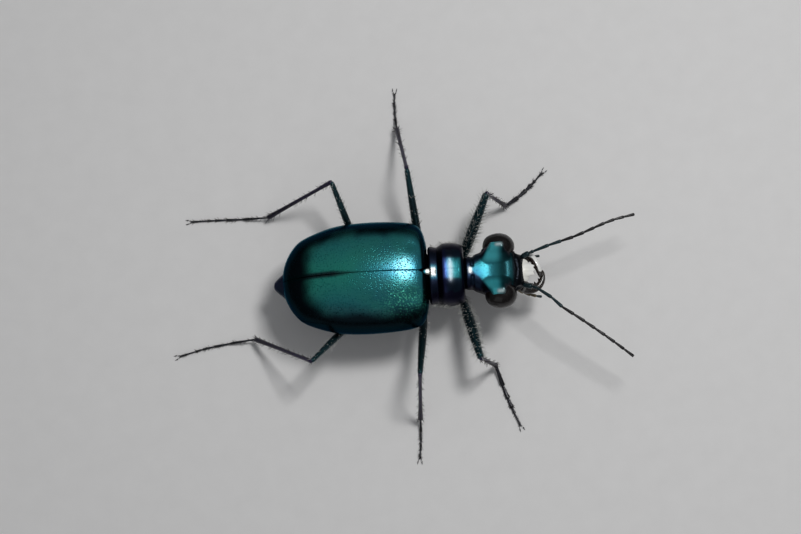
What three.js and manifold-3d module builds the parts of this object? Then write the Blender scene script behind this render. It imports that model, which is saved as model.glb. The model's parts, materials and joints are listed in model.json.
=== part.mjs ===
// A life-size tiger beetle, 14 mm from jaws to tail, standing still on six spread legs.
// Lengths are millimetres and angles degrees. +X is forward, +Y the beetle's left and +Z up, with the floor at 0.
// While the body is shaped, X is 0 at the waist. The finished group is then moved to the middle of its footprint.
import * as THREE from 'three';
import { mergeVertices } from 'three/addons/utils/BufferGeometryUtils.js';
import Module from 'manifold-3d';

const wasm = await Module();
wasm.setup();

// Driving dimensions
const bodyGap = 0.2;
const seamGap = 0.14;
const barSides = 8;
const bodySides = 24;
const smallestEdge = 0.004;

const ankleHeight = 0.42;
const toeHeight = 0.2;

// Colours and finishes
const finishes = {
  elytra: { color: 0x0e5f50, roughness: 0.34, metalness: 0.75 },
  forebody: { color: 0x13717a, roughness: 0.26, metalness: 0.8 },
  underside: { color: 0x0b2a33, roughness: 0.38, metalness: 0.6 },
  legs: { color: 0x10262c, roughness: 0.42, metalness: 0.55 },
  feet: { color: 0x0c0e11, roughness: 0.45, metalness: 0.2 },
  feelers: { color: 0x14181c, roughness: 0.5, metalness: 0.2 },
  eyes: { color: 0x1a1210, roughness: 0.16, metalness: 0.0 },
  lip: { color: 0xe6e3cf, roughness: 0.4, metalness: 0.0 },
  jaws: { color: 0x17140f, roughness: 0.3, metalness: 0.1 },
};
const materials = Object.fromEntries(
  Object.entries(finishes).map(([name, look]) => [name, new THREE.MeshStandardMaterial({ name, ...look })]),
);

const beetle = new THREE.Group();
const sides = { left: 1, right: -1 };
const radians = THREE.MathUtils.degToRad;
const range = (count) => Array.from({ length: count }, (_, i) => i);
const at = (x, y, z) => new THREE.Vector3(x, y, z);

// Solids, joined and cut
function solidOf(geometry) {
  const bare = geometry.index ? geometry.toNonIndexed() : geometry.clone();
  bare.deleteAttribute('normal');
  bare.deleteAttribute('uv');
  const merged = mergeVertices(bare, 1e-5);
  const corners = merged.index.array;
  const faces = [];
  for (let i = 0; i < corners.length; i += 3) {
    const [a, b, c] = [corners[i], corners[i + 1], corners[i + 2]];
    if (a !== b && b !== c && c !== a) faces.push(a, b, c);
  }
  return new wasm.Manifold(
    new wasm.Mesh({
      numProp: 3,
      vertProperties: merged.attributes.position.array,
      triVerts: new Uint32Array(faces),
    }),
  );
}

function geometryOf(solid) {
  const mesh = solid.getMesh();
  const points = new Float32Array(mesh.numVert * 3);
  for (const i of range(mesh.numVert)) {
    points.set(mesh.vertProperties.subarray(i * mesh.numProp, i * mesh.numProp + 3), i * 3);
  }
  const geometry = new THREE.BufferGeometry();
  geometry.setAttribute('position', new THREE.BufferAttribute(points, 3));
  geometry.setIndex(new THREE.BufferAttribute(new Uint32Array(mesh.triVerts), 1));
  geometry.computeVertexNormals();
  return geometry;
}

const joined = (...solids) => solids.reduce((whole, next) => whole.add(next));
const cut = (solid, ...tools) => tools.reduce((rest, tool) => rest.subtract(tool), solid);

// Only the largest closed surface of a solid is kept, with its shortest edges closed up.
function largest(solid) {
  const bodies = solid.simplify(smallestEdge).decompose();
  return bodies.reduce((most, next) => (next.volume() > most.volume() ? next : most));
}

function addNode(name, finish, solid) {
  const mesh = new THREE.Mesh(geometryOf(largest(solid)), materials[finish]);
  mesh.name = name;
  beetle.add(mesh);
}

function block(low, high) {
  const size = high.clone().sub(low);
  const geometry = new THREE.BoxGeometry(size.x, size.y, size.z);
  geometry.translate(low.x + size.x / 2, low.y + size.y / 2, low.z + size.z / 2);
  return solidOf(geometry);
}

// A closed form through a row of rings of points: a cylinder whose rings are moved into place.
function loft(rings) {
  const corners = rings[0].length;
  const geometry = new THREE.CylinderGeometry(1, 1, 1, corners, rings.length - 1);
  const position = geometry.attributes.position;
  const centres = rings.map((ring) =>
    ring.reduce((sum, p) => sum.add(p), at(0, 0, 0)).divideScalar(corners),
  );
  for (const i of range(position.count)) {
    const [x, y, z] = [position.getX(i), position.getY(i), position.getZ(i)];
    const ring = Math.round((0.5 - y) * (rings.length - 1));
    const corner = Math.round((Math.atan2(x, z) / (2 * Math.PI) + 1) * corners) % corners;
    const to = Math.hypot(x, z) < 0.5 ? centres[ring] : rings[ring][corner];
    position.setXYZ(i, to.x, to.y, to.z);
  }
  return solidOf(geometry);
}

// Stations with the same keys, drawn out to more of them along smooth curves
function drawnOut(stations, count) {
  const keys = Object.keys(stations[0]);
  const curves = keys.map(
    (key) => new THREE.SplineCurve(stations.map((s, i) => new THREE.Vector2(i, s[key]))),
  );
  return range(count).map((i) => {
    const share = i / (count - 1);
    return Object.fromEntries(keys.map((key, k) => [key, curves[k].getPoint(share).y]));
  });
}

// A body form: each station gives its place x, its half width, and the heights of its top, widest line and bottom.
// A square above 2 makes the section fuller than an ellipse.
function bodyForm(stations, { count = stations.length * 2, square = 2.2, grow = 0, corners = bodySides } = {}) {
  const drawn = drawnOut(stations, count);
  return loft(
    drawn.map((s, i) => {
      const end = i === 0 ? -grow : i === count - 1 ? grow : 0;
      return range(corners).map((k) => {
        const angle = (k / corners) * 2 * Math.PI;
        const [across, up] = [Math.sin(angle), Math.cos(angle)];
        const full = (value) => Math.sign(value) * Math.abs(value) ** (2 / square);
        const reach = up > 0 ? s.top - s.rim : s.rim - s.bottom;
        return at(s.x + end, (s.half + grow) * full(across), s.rim + (reach + grow) * full(up));
      });
    }),
  );
}

// A round bar along a path. Its profile lists the share of the length and the radius there.
function bar(path, profile, { grow = 0, corners = barSides, flatten = 1 } = {}) {
  const up = at(0, 0, 1);
  const last = profile.length - 1;
  return loft(
    profile.map(([share, radius], i) => {
      const centre = path.getPointAt(share);
      const tangent = path.getTangentAt(share);
      const across = up.clone().cross(tangent).normalize();
      const over = tangent.clone().cross(across);
      const end = i === 0 ? -grow : i === last ? grow : 0;
      return range(corners).map((k) => {
        const angle = (k / corners) * 2 * Math.PI;
        return centre
          .clone()
          .addScaledVector(tangent, end)
          .addScaledVector(across, (radius + grow) * Math.sin(angle))
          .addScaledVector(over, (radius * flatten + grow) * Math.cos(angle));
      });
    }),
  );
}

const straight = (from, to) => new THREE.LineCurve3(from, to);
const curved = (...points) => new THREE.CatmullRomCurve3(points);

// The direction of a heading seen from above, 0 being forward, and a lift above the floor's level
function direction(heading, lift = 0) {
  const level = Math.cos(radians(lift));
  return at(level * Math.cos(radians(heading)), level * Math.sin(radians(heading)), Math.sin(radians(lift)));
}

const toward = (from, way, length) => from.clone().addScaledVector(way, length);

// Trunk: the hind part of the body under the wing cases, from tail to waist
const trunkStations = [
  { x: -7.9, half: 0.38, top: 2.72, rim: 2.58, bottom: 2.4 },
  { x: -7.62, half: 0.72, top: 2.82, rim: 2.6, bottom: 2.25 },
  { x: -7.0, half: 1.16, top: 3.05, rim: 2.65, bottom: 2.08 },
  { x: -5.9, half: 1.75, top: 3.6, rim: 2.72, bottom: 1.92 },
  { x: -4.5, half: 2.12, top: 4.08, rim: 2.8, bottom: 1.8 },
  { x: -3.1, half: 2.2, top: 4.25, rim: 2.85, bottom: 1.74 },
  { x: -1.7, half: 2.12, top: 4.18, rim: 2.88, bottom: 1.72 },
  { x: -0.6, half: 1.86, top: 3.98, rim: 2.92, bottom: 1.78 },
  { x: -0.02, half: 1.35, top: 3.75, rim: 2.98, bottom: 2.0 },
];
const trunk = bodyForm(trunkStations, { count: 20 });
const trunkRoom = bodyForm(trunkStations, { count: 20, grow: bodyGap });
const chestRear = -3.55;

// Abdomen, with a shallow step where each of its plates overlaps the next
const plateCount = 6;
const plateStep = 0.07;
const ringsPerPlate = 3;

function abdomenSolid() {
  const rings = drawnOut(trunkStations, 200).filter((s) => s.x < chestRear - bodyGap);
  const count = plateCount * ringsPerPlate + 1;
  const stations = range(count).map((i) => {
    const s = rings[Math.round((i / (count - 1)) * (rings.length - 1))];
    const waist = i % ringsPerPlate === 0 && i > 0 && i < count - 1 ? plateStep : 0;
    return { ...s, half: s.half - waist, bottom: s.bottom + waist };
  });
  return bodyForm(stations, { count });
}

// Chest: the part of the trunk that carries the middle and hind legs, with the small shield between the wing cases
const shieldFront = 0.04;
const shieldLength = 0.75;
const shieldHalfWidth = 0.42;
const shieldTop = 4.4;
const shieldBase = 3.6;

function shieldSolid(grow = 0) {
  const outline = new THREE.Shape();
  outline.moveTo(shieldFront + grow, -shieldHalfWidth - grow);
  outline.lineTo(shieldFront + grow, shieldHalfWidth + grow);
  outline.lineTo(-shieldLength - 2 * grow, 0.04 + grow / 2);
  outline.lineTo(-shieldLength - 2 * grow, -0.04 - grow / 2);
  const plate = new THREE.ExtrudeGeometry(outline, {
    depth: shieldTop - shieldBase + 3 * grow,
    bevelEnabled: false,
  });
  plate.translate(0, 0, shieldBase);
  return solidOf(plate);
}

function chestSolid() {
  const room = block(at(chestRear, -4, 0), at(1, 4, 6));
  return joined(trunk.intersect(room), shieldSolid());
}

addNode('abdomen', 'underside', abdomenSolid());
addNode('thorax', 'underside', chestSolid());

// Wing cases: one dome over the trunk, hollowed to fit it and parted along the back
const domeStations = [
  { x: -7.42, half: 0.55, top: 3.52, rim: 3.22, bottom: 3.02 },
  { x: -7.3, half: 1.02, top: 3.7, rim: 3.18, bottom: 2.9 },
  { x: -7.0, half: 1.6, top: 3.98, rim: 3.14, bottom: 2.8 },
  { x: -6.5, half: 2.14, top: 4.3, rim: 3.12, bottom: 2.74 },
  { x: -5.6, half: 2.55, top: 4.66, rim: 3.12, bottom: 2.72 },
  { x: -4.5, half: 2.85, top: 4.9, rim: 3.17, bottom: 2.74 },
  { x: -3.1, half: 2.95, top: 5.0, rim: 3.22, bottom: 2.78 },
  { x: -1.6, half: 2.9, top: 4.95, rim: 3.28, bottom: 2.84 },
  { x: -0.55, half: 2.74, top: 4.78, rim: 3.32, bottom: 2.9 },
  { x: -0.12, half: 2.38, top: 4.58, rim: 3.34, bottom: 2.98 },
  { x: 0.06, half: 1.8, top: 4.36, rim: 3.36, bottom: 3.06 },
];

function wingCases() {
  const dome = bodyForm(domeStations, { count: 22, square: 2.3, corners: 32 });
  return cut(dome, trunkRoom, shieldSolid(seamGap));
}

const cases = wingCases();
for (const [side, sign] of Object.entries(sides)) {
  const inner = (sign * seamGap) / 2;
  const [low, high] = sign > 0 ? [inner, 4] : [-4, inner];
  addNode(`elytron_${side}`, 'elytra', cases.intersect(block(at(-9, low, 0), at(1, high, 6))));
}

// Forebody ring that carries the front legs: grooved across near its base and its front
const collarStations = [
  { x: 0.24, half: 1.36, top: 4.0, rim: 3.08, bottom: 2.24 },
  { x: 0.38, half: 1.54, top: 4.2, rim: 3.08, bottom: 2.1 },
  { x: 0.56, half: 1.48, top: 4.1, rim: 3.08, bottom: 2.06 },
  { x: 0.9, half: 1.6, top: 4.38, rim: 3.08, bottom: 2.0 },
  { x: 1.3, half: 1.67, top: 4.44, rim: 3.08, bottom: 2.0 },
  { x: 1.6, half: 1.6, top: 4.3, rim: 3.1, bottom: 2.06 },
  { x: 1.76, half: 1.46, top: 4.08, rim: 3.12, bottom: 2.12 },
  { x: 1.92, half: 1.48, top: 4.1, rim: 3.14, bottom: 2.2 },
  { x: 2.0, half: 1.3, top: 3.98, rim: 3.16, bottom: 2.3 },
];
const collar = bodyForm(collarStations, { count: 17, square: 2.1 });
const collarRoom = bodyForm(collarStations, { count: 17, square: 2.1, grow: bodyGap });
addNode('prothorax', 'forebody', collar);

// Head: a neck that widens behind the eyes, a hollowed brow between them and a narrow face
const headStations = [
  { x: 2.2, half: 0.86, top: 3.86, rim: 3.22, bottom: 2.56 },
  { x: 2.6, half: 0.98, top: 4.02, rim: 3.22, bottom: 2.4 },
  { x: 3.1, half: 1.16, top: 4.18, rim: 3.24, bottom: 2.26 },
  { x: 3.6, half: 1.28, top: 4.26, rim: 3.26, bottom: 2.2 },
  { x: 4.15, half: 1.26, top: 4.2, rim: 3.24, bottom: 2.2 },
  { x: 4.6, half: 1.08, top: 4.04, rim: 3.18, bottom: 2.26 },
  { x: 4.9, half: 0.94, top: 3.82, rim: 3.12, bottom: 2.4 },
  { x: 5.08, half: 0.84, top: 3.56, rim: 3.1, bottom: 2.62 },
];
const headForm = bodyForm(headStations, { count: 16, square: 2.3 });
const headRoom = bodyForm(headStations, { count: 16, square: 2.3, grow: seamGap });

// Eyes: large ovals that stand well out of the head's sides
const eyeCentre = at(3.88, 1.29, 3.54);
const eyeRadii = at(0.84, 0.71, 0.74);

function eyeSolid(sign) {
  const ball = new THREE.SphereGeometry(1, 20, 14);
  ball.scale(eyeRadii.x, eyeRadii.y, eyeRadii.z);
  ball.translate(eyeCentre.x, sign * eyeCentre.y, eyeCentre.z);
  return cut(solidOf(ball), headRoom);
}

for (const [side, sign] of Object.entries(sides)) addNode(`eye_${side}`, 'eyes', eyeSolid(sign));

// Upper lip: a pale plate with three blunt teeth in the middle of its front edge
const lip = { rear: 5.22, front: 5.8, half: 0.62, thick: 0.42, drop: 3.1, tilt: 12, toothWidth: 0.24, tooth: 0.11 };

function lipSolid() {
  const outline = new THREE.Shape();
  outline.moveTo(lip.rear, -lip.half * 0.9);
  outline.quadraticCurveTo(lip.rear + 0.3, -lip.half * 1.06, lip.front - 0.14, -lip.half * 0.82);
  outline.lineTo(lip.front, -1.5 * lip.toothWidth);
  for (const i of range(3)) {
    const start = (i - 1.5) * lip.toothWidth;
    outline.lineTo(lip.front + lip.tooth, start + lip.toothWidth / 2);
    outline.lineTo(lip.front, start + lip.toothWidth);
  }
  outline.lineTo(lip.front - 0.14, lip.half * 0.82);
  outline.quadraticCurveTo(lip.rear + 0.3, lip.half * 1.06, lip.rear, lip.half * 0.9);
  const plate = new THREE.ExtrudeGeometry(outline, { depth: lip.thick, bevelEnabled: false, curveSegments: 5 });
  plate.translate(-lip.rear, 0, 0);
  plate.rotateY(radians(lip.tilt));
  plate.translate(lip.rear, 0, lip.drop);
  return solidOf(plate);
}
addNode('labrum', 'lip', lipSolid());

// Jaws: two sickles that cross at their tips, each with two inner teeth
const jawProfile = [
  [0, 0.3],
  [0.12, 0.34],
  [0.35, 0.28],
  [0.6, 0.22],
  [0.82, 0.16],
  [0.95, 0.09],
  [1, 0.03],
];
const jawTilt = { left: 0.3, right: -0.12 };

function jawSolid(side) {
  const sign = sides[side];
  const tip = 2.62 + jawTilt[side];
  const path = curved(
    at(4.96, 0.6 * sign, 2.64),
    at(5.45, 0.86 * sign, 2.64),
    at(5.92, 0.66 * sign, tip - 0.04),
    at(6.14, 0.22 * sign, tip),
    at(6.12, -0.16 * sign, tip),
  );
  const teeth = [0.5, 0.68].map((share) => {
    const root = path.getPointAt(share);
    const point = root.clone().add(at(-0.16, -0.36 * sign, 0));
    return bar(straight(root, point), [[0, 0.14], [0.6, 0.09], [1, 0.02]], { corners: 6 });
  });
  return joined(bar(path, jawProfile), ...teeth);
}

for (const side of Object.keys(sides)) addNode(`mandible_${side}`, 'jaws', cut(jawSolid(side), headRoom));
addNode('head', 'forebody', headForm);

// Mouth feelers: a splayed outer pair and a shorter inner pair, under the jaws
const mouthFeelers = {
  maxillary: { root: at(4.62, 0.62, 2.06), bend: at(5.5, 1.06, 1.9), tip: at(6.1, 1.12, 1.72), thick: 0.25 },
  labial: { root: at(4.5, 0.2, 1.96), bend: at(5.2, 0.34, 1.72), tip: at(5.75, 0.42, 1.5), thick: 0.25 },
};
const mouthFeelerProfile = (thick) => [
  [0, thick * 0.7],
  [0.08, thick],
  [0.3, thick],
  [0.36, thick * 0.78],
  [0.42, thick],
  [0.66, thick],
  [0.72, thick * 0.78],
  [0.8, thick],
  [0.95, thick * 0.9],
  [1, thick * 0.5],
];

for (const [name, feeler] of Object.entries(mouthFeelers)) {
  for (const [side, sign] of Object.entries(sides)) {
    const mirrored = [feeler.root, feeler.bend, feeler.tip].map((p) => at(p.x, p.y * sign, p.z));
    addNode(`${name}_palp_${side}`, 'feelers', cut(bar(curved(...mirrored), mouthFeelerProfile(feeler.thick)), headRoom));
  }
}

// Feelers: a stout first joint, then ten slender ones in two lengths
const feelerPaths = {
  left: [
    at(4.9, 0.7, 3.2),
    at(5.6, 0.95, 3.4),
    at(6.63, 1.28, 3.52),
    at(7.92, 1.64, 3.56),
    at(9.75, 2.36, 3.5),
    at(11.1, 2.72, 3.25),
  ],
  right: [
    at(4.9, -0.7, 3.2),
    at(5.5, -0.88, 3.38),
    at(6.2, -1.24, 3.48),
    at(6.9, -2.0, 3.54),
    at(7.95, -2.78, 3.52),
    at(9.42, -3.9, 3.36),
    at(10.6, -4.83, 3.06),
  ],
};
const feelerJoints = 11;
const feelerRadius = { base: 0.28, tip: 0.2 };
const feelerCuts = [2, 6];

// The radius profile of some of the feeler's joints: each one swells toward its far end.
function feelerProfile(first, last) {
  const profile = [];
  for (let joint = first; joint < last; joint++) {
    const thick = THREE.MathUtils.lerp(feelerRadius.base, feelerRadius.tip, joint / (feelerJoints - 1));
    const share = (part) => (joint - first + part) / (last - first);
    profile.push([share(0.04), thick * 0.76], [share(0.55), thick * 0.92], [share(0.86), thick]);
  }
  return [[0, profile[0][1] * 0.6], ...profile, [1, profile[profile.length - 1][1] * 0.55]];
}

for (const [side, points] of Object.entries(feelerPaths)) {
  const whole = curved(...points);
  const bounds = [0, ...feelerCuts.map((n) => n / feelerJoints), 1];
  const halfGap = bodyGap / 2 / whole.getLength();
  const names = ['base', 'middle', 'tip'];
  names.forEach((name, i) => {
    const from = bounds[i] + (i > 0 ? halfGap : 0);
    const to = bounds[i + 1] - (i < 2 ? halfGap : 0);
    const stretch = curved(...range(8).map((k) => whole.getPointAt(THREE.MathUtils.lerp(from, to, k / 7))));
    const first = [0, ...feelerCuts][i];
    const last = [...feelerCuts, feelerJoints][i];
    const length = bar(stretch, feelerProfile(first, last));
    addNode(`antenna_${name}_${side}`, 'feelers', i === 0 ? cut(length, headRoom) : length);
  });
}

// Legs: for each pair its lengths, its thickness and where its hip sits, then for each leg the way its parts point.
// Stretch is the share of its length that a foot reaches.
const pairs = {
  front: { femur: 3.93, tibia: 2.92, tarsus: 3.38, thick: 0.33, root: at(1.4, 0.55, 2.0), hip: at(1.9, 1.02, 1.62) },
  middle: { femur: 4.9, tibia: 4.05, tarsus: 2.0, thick: 0.3, root: at(-0.5, 0.55, 1.6), hip: at(-0.14, 1.34, 1.36) },
  hind: { femur: 4.94, tibia: 4.78, tarsus: 4.06, thick: 0.28, root: at(-2.6, 0.45, 1.6), hip: at(-3.16, 1.09, 1.34) },
};
const stance = {
  front_left: { femur: 65, lift: 23, tibia: -4, tarsus: 37, curl: 8, stretch: 0.8 },
  front_right: { femur: -78, lift: 24, tibia: 10, tarsus: -73, curl: 4, stretch: 1 },
  middle_left: { femur: 97, lift: 22, tibia: 98, tarsus: 93, curl: -5, stretch: 1 },
  middle_right: { femur: -96, lift: 34, tibia: -93, tarsus: -92, curl: -3, stretch: 1 },
  hind_left: { femur: 110, lift: 26, tibia: 196, tarsus: 178, curl: 2, stretch: 1 },
  hind_right: { femur: -133, lift: 27, tibia: 146, tarsus: 185, curl: 8, stretch: 1 },
};

const coxaProfile = [[0, 0.3], [0.15, 0.42], [0.5, 0.42], [0.85, 0.33], [1, 0.2]];
const femurProfile = (thick) => [
  [0, 0.16],
  [0.035, 0.25],
  [0.12, thick * 0.96],
  [0.35, thick * 1.08],
  [0.65, thick * 0.94],
  [0.9, 0.25],
  [0.965, 0.26],
  [1, 0.17],
];
const tibiaProfile = [[0, 0.16], [0.04, 0.25], [0.12, 0.245], [0.5, 0.25], [0.9, 0.265], [0.97, 0.27], [1, 0.17]];
const spur = { length: 0.5, radius: 0.11, spread: 0.18 };
const spurProfile = [[0, spur.radius], [0.6, spur.radius * 0.75], [1, 0.02]];
const toeJoints = 5;
const toeRadius = 0.25;
const claw = { length: 0.5, radius: 0.13, spread: 24 };
const floorBlock = block(at(-20, -20, -3), at(20, 20, 0));

// Toe joints shorten toward the claws, except the last.
const toeShares = [0, 0.34, 0.55, 0.7, 0.8, 1];
const toeProfile = range(toeJoints).flatMap((joint) => {
  const [from, to] = [toeShares[joint], toeShares[joint + 1]];
  const share = (part) => THREE.MathUtils.lerp(from, to, part);
  return [
    [share(0.06), toeRadius * 0.78],
    [share(0.5), toeRadius * 0.9],
    [share(0.9), toeRadius],
  ];
});

function addLeg(name, pose) {
  const [pairName, side] = name.split('_');
  const pair = pairs[pairName];
  const mirror = (p) => at(p.x, p.y * sides[side], p.z);
  const [root, hip] = [mirror(pair.root), mirror(pair.hip)];
  const knee = toward(hip, direction(pose.femur, pose.lift), pair.femur);
  const dip = THREE.MathUtils.radToDeg(Math.asin((knee.z - ankleHeight) / pair.tibia));
  const shin = direction(pose.tibia, -dip);
  const ankle = toward(knee, shin, pair.tibia);
  const bodyRoom = pairName === 'front' ? collarRoom : trunkRoom;

  const coxa = bar(straight(root, hip), coxaProfile);
  const coxaRoom = bar(straight(root, hip), coxaProfile, { grow: bodyGap });
  addNode(`coxa_${name}`, 'underside', cut(coxa, bodyRoom));

  const thigh = straight(toward(hip, direction(pose.femur, pose.lift), -0.1), knee);
  const femur = bar(thigh, femurProfile(pair.thick));
  const femurRoom = bar(thigh, femurProfile(pair.thick), { grow: bodyGap });
  addNode(`femur_${name}`, 'legs', cut(femur, coxaRoom));

  const spurLines = [-1, 1].map((hand) => {
    const across = at(0, 0, 1).cross(shin).normalize().multiplyScalar(hand);
    const start = toward(toward(ankle, shin, -0.22), across, spur.spread);
    return straight(start, toward(toward(start, shin, spur.length), across, spur.spread));
  });
  const spurs = spurLines.map((line) => bar(line, spurProfile, { corners: 6 }));
  const spurRooms = spurLines.map((line) => bar(line, spurProfile, { corners: 6, grow: bodyGap / 2 }));
  const lower = straight(toward(knee, shin, 0.06), ankle);
  const tibia = bar(lower, tibiaProfile);
  const tibiaRoom = bar(lower, tibiaProfile, { grow: bodyGap });
  addNode(`tibia_${name}`, 'legs', cut(joined(tibia, ...spurs), femurRoom));

  const heel = toward(ankle, direction(pose.tarsus), 0.12);
  heel.z = ankleHeight - 0.12;
  const bends = [0.3, 0.65, 1].map((share) => {
    const way = direction(pose.tarsus + pose.curl * (share - 0.5));
    const p = toward(ankle, way, pair.tarsus * pose.stretch * share);
    p.z = toeHeight;
    return p;
  });
  const sole = curved(heel, ...bends);
  const claws = [-1, 1].map((hand) => {
    const heading = pose.tarsus + pose.curl / 2;
    const start = toward(bends[2], direction(heading), -0.12);
    const tip = toward(start, direction(heading + hand * claw.spread), claw.length);
    const middle = toward(start, direction(heading + hand * claw.spread * 1.2), claw.length * 0.6);
    start.z = toeHeight;
    middle.z = toeHeight + 0.02;
    tip.z = 0.06;
    return bar(curved(start, middle, tip), [[0, claw.radius], [0.6, claw.radius * 0.8], [1, 0.03]], { corners: 6 });
  });
  const profile = [[0, 0.15], ...toeProfile, [1, 0.16]];
  const foot = cut(joined(bar(sole, profile), ...claws), floorBlock);
  addNode(`tarsus_${name}`, 'feet', cut(foot, tibiaRoom, ...spurRooms));
}

for (const [name, pose] of Object.entries(stance)) addLeg(name, pose);

// The finished beetle stands over the middle of its footprint.
const reach = new THREE.Box3().setFromObject(beetle);
const middle = reach.getCenter(at(0, 0, 0));
beetle.position.set(-middle.x, -middle.y, -reach.min.z);

export default beetle;
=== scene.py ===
"""A life-size tiger beetle: the finish of every surface, modelled over its solids."""

import json
import math

import bpy
import numpy as np
from bpy.props import FloatProperty, FloatVectorProperty, IntProperty, PointerProperty
from mathutils import Matrix, Vector

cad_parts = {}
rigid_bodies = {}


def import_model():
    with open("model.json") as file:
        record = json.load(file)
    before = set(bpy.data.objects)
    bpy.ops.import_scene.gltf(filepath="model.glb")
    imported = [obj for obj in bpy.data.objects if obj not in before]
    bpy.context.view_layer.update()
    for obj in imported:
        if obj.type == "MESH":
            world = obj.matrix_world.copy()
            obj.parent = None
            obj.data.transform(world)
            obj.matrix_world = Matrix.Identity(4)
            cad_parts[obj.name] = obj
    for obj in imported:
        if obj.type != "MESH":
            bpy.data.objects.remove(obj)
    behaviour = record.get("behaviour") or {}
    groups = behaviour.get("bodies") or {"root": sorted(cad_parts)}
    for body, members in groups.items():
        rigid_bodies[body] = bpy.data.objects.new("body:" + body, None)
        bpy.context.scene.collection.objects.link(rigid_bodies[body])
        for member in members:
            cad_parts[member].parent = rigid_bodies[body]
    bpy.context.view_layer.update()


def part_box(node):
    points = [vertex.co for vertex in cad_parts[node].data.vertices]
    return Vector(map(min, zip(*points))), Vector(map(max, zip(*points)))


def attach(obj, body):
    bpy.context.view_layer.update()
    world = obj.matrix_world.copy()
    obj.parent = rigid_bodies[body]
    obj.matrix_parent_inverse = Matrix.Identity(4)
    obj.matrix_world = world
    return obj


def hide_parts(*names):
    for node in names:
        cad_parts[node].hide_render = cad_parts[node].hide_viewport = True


bl_info = {
    "name": "Tiger beetle",
    "version": (1, 0, 0),
    "blender": (4, 5, 0),
    "location": "3D View > Sidebar > Beetle",
    "description": "Models a life-size tiger beetle piece by piece over its solids",
    "category": "Mesh",
}

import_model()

MM = 0.001
SIDES = {"left": 1, "right": -1}

# The waist, seen from above, is where the wing cases' line of parting meets their front edge.
WAIST = Vector(
    (
        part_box("elytron_left")[1].x - 0.06 * MM,
        (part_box("elytron_left")[1].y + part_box("elytron_right")[0].y) / 2,
        0,
    )
)


def at(x, y, z):
    """A place on the beetle in millimetres from the waist, with the floor at 0."""
    return WAIST + Vector((x, y, z)) * MM


def pair_point(place, sign):
    """A place given for the left side, on the left or the right."""
    return at(place[0], place[1] * sign, place[2])


# Body sections in millimetres: place along the body, half width, top and bottom
TRUNK = [
    (-7.96, 0.08, 2.66, 2.5),
    (-7.9, 0.22, 2.74, 2.4),
    (-7.62, 0.5, 2.86, 2.25),
    (-7.0, 1.0, 3.06, 2.08),
    (-5.9, 1.75, 3.6, 1.92),
    (-4.5, 2.12, 4.08, 1.8),
    (-3.1, 2.2, 4.25, 1.74),
    (-1.7, 2.12, 4.18, 1.72),
    (-0.6, 1.86, 3.98, 1.78),
    (-0.02, 1.35, 3.75, 2.0),
    (0.3, 1.12, 3.6, 2.2),
    (0.62, 0.9, 3.5, 2.4),
]
COLLAR = [
    (0.24, 1.08, 3.82, 2.45),
    (0.15, 1.26, 4.02, 2.3),
    (0.17, 1.44, 4.14, 2.2),
    (0.26, 1.54, 4.18, 2.12),
    (0.38, 1.53, 4.165, 2.09),
    (0.52, 1.5, 4.14, 2.07),
    (0.62, 1.49, 4.13, 2.05),
    (0.74, 1.54, 4.28, 2.03),
    (0.87, 1.61, 4.41, 2.0),
    (1.02, 1.65, 4.45, 2.0),
    (1.4, 1.66, 4.4, 2.02),
    (1.72, 1.61, 4.325, 2.06),
    (1.9, 1.54, 4.25, 2.12),
    (1.98, 1.47, 4.14, 2.2),
    (2.02, 1.32, 4.0, 2.3),
    (2.0, 1.12, 3.88, 2.42),
    (1.9, 0.95, 3.78, 2.55),
]
HEAD = [
    (1.75, 0.7, 3.66, 2.72),
    (2.06, 0.82, 3.87, 2.6),
    (2.14, 0.85, 3.945, 2.57),
    (2.2, 0.86, 3.955, 2.55),
    (2.32, 0.865, 3.94, 2.52),
    (2.44, 0.87, 3.925, 2.49),
    (2.5, 0.9, 3.92, 2.46),
    (2.57, 0.95, 3.915, 2.43),
    (2.67, 1.0, 3.905, 2.39),
    (2.84, 1.06, 3.888, 2.33),
    (3.1, 1.15, 3.86, 2.27),
    (3.34, 1.22, 3.84, 2.23),
    (3.6, 1.26, 3.865, 2.21),
    (3.9, 1.28, 3.92, 2.2),
    (4.13, 1.26, 3.96, 2.2),
    (4.31, 1.18, 3.96, 2.22),
    (4.56, 1.09, 3.88, 2.26),
    (4.9, 0.94, 3.75, 2.4),
    (5.08, 0.84, 3.54, 2.62),
    (5.16, 0.7, 3.42, 2.76),
    (5.13, 0.46, 3.3, 2.9),
]

# Wing case sections: place along, half width, then the heights of the top, the widest line and the lower edge
DOME = [
    (-7.47, 0.1, 3.32, 3.2, 3.08),
    (-7.43, 0.55, 3.5, 3.2, 3.02),
    (-7.3, 1.02, 3.72, 3.18, 2.9),
    (-7.0, 1.6, 4.0, 3.14, 2.8),
    (-6.5, 2.14, 4.32, 3.12, 2.74),
    (-5.6, 2.55, 4.68, 3.12, 2.72),
    (-4.5, 2.85, 4.92, 3.17, 2.74),
    (-3.1, 2.95, 5.02, 3.22, 2.78),
    (-1.6, 2.9, 4.96, 3.28, 2.84),
    (-0.55, 2.74, 4.78, 3.32, 2.9),
    (-0.12, 2.38, 4.58, 3.34, 2.98),
    (0.06, 1.8, 4.36, 3.36, 3.06),
    (0.11, 1.5, 4.08, 3.36, 3.12),
    (0.09, 1.38, 3.84, 3.34, 3.14),
]
DOME_SQUARE = 2.3
FOLD_START = 0.82
SHIELD = {"front": 0.42, "length": 0.74, "half": 0.36, "middle": 0.08}

EYE_CENTRE = (3.88, 1.29, 3.54)
EYE_RADII = (0.84, 0.71, 0.74)

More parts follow.
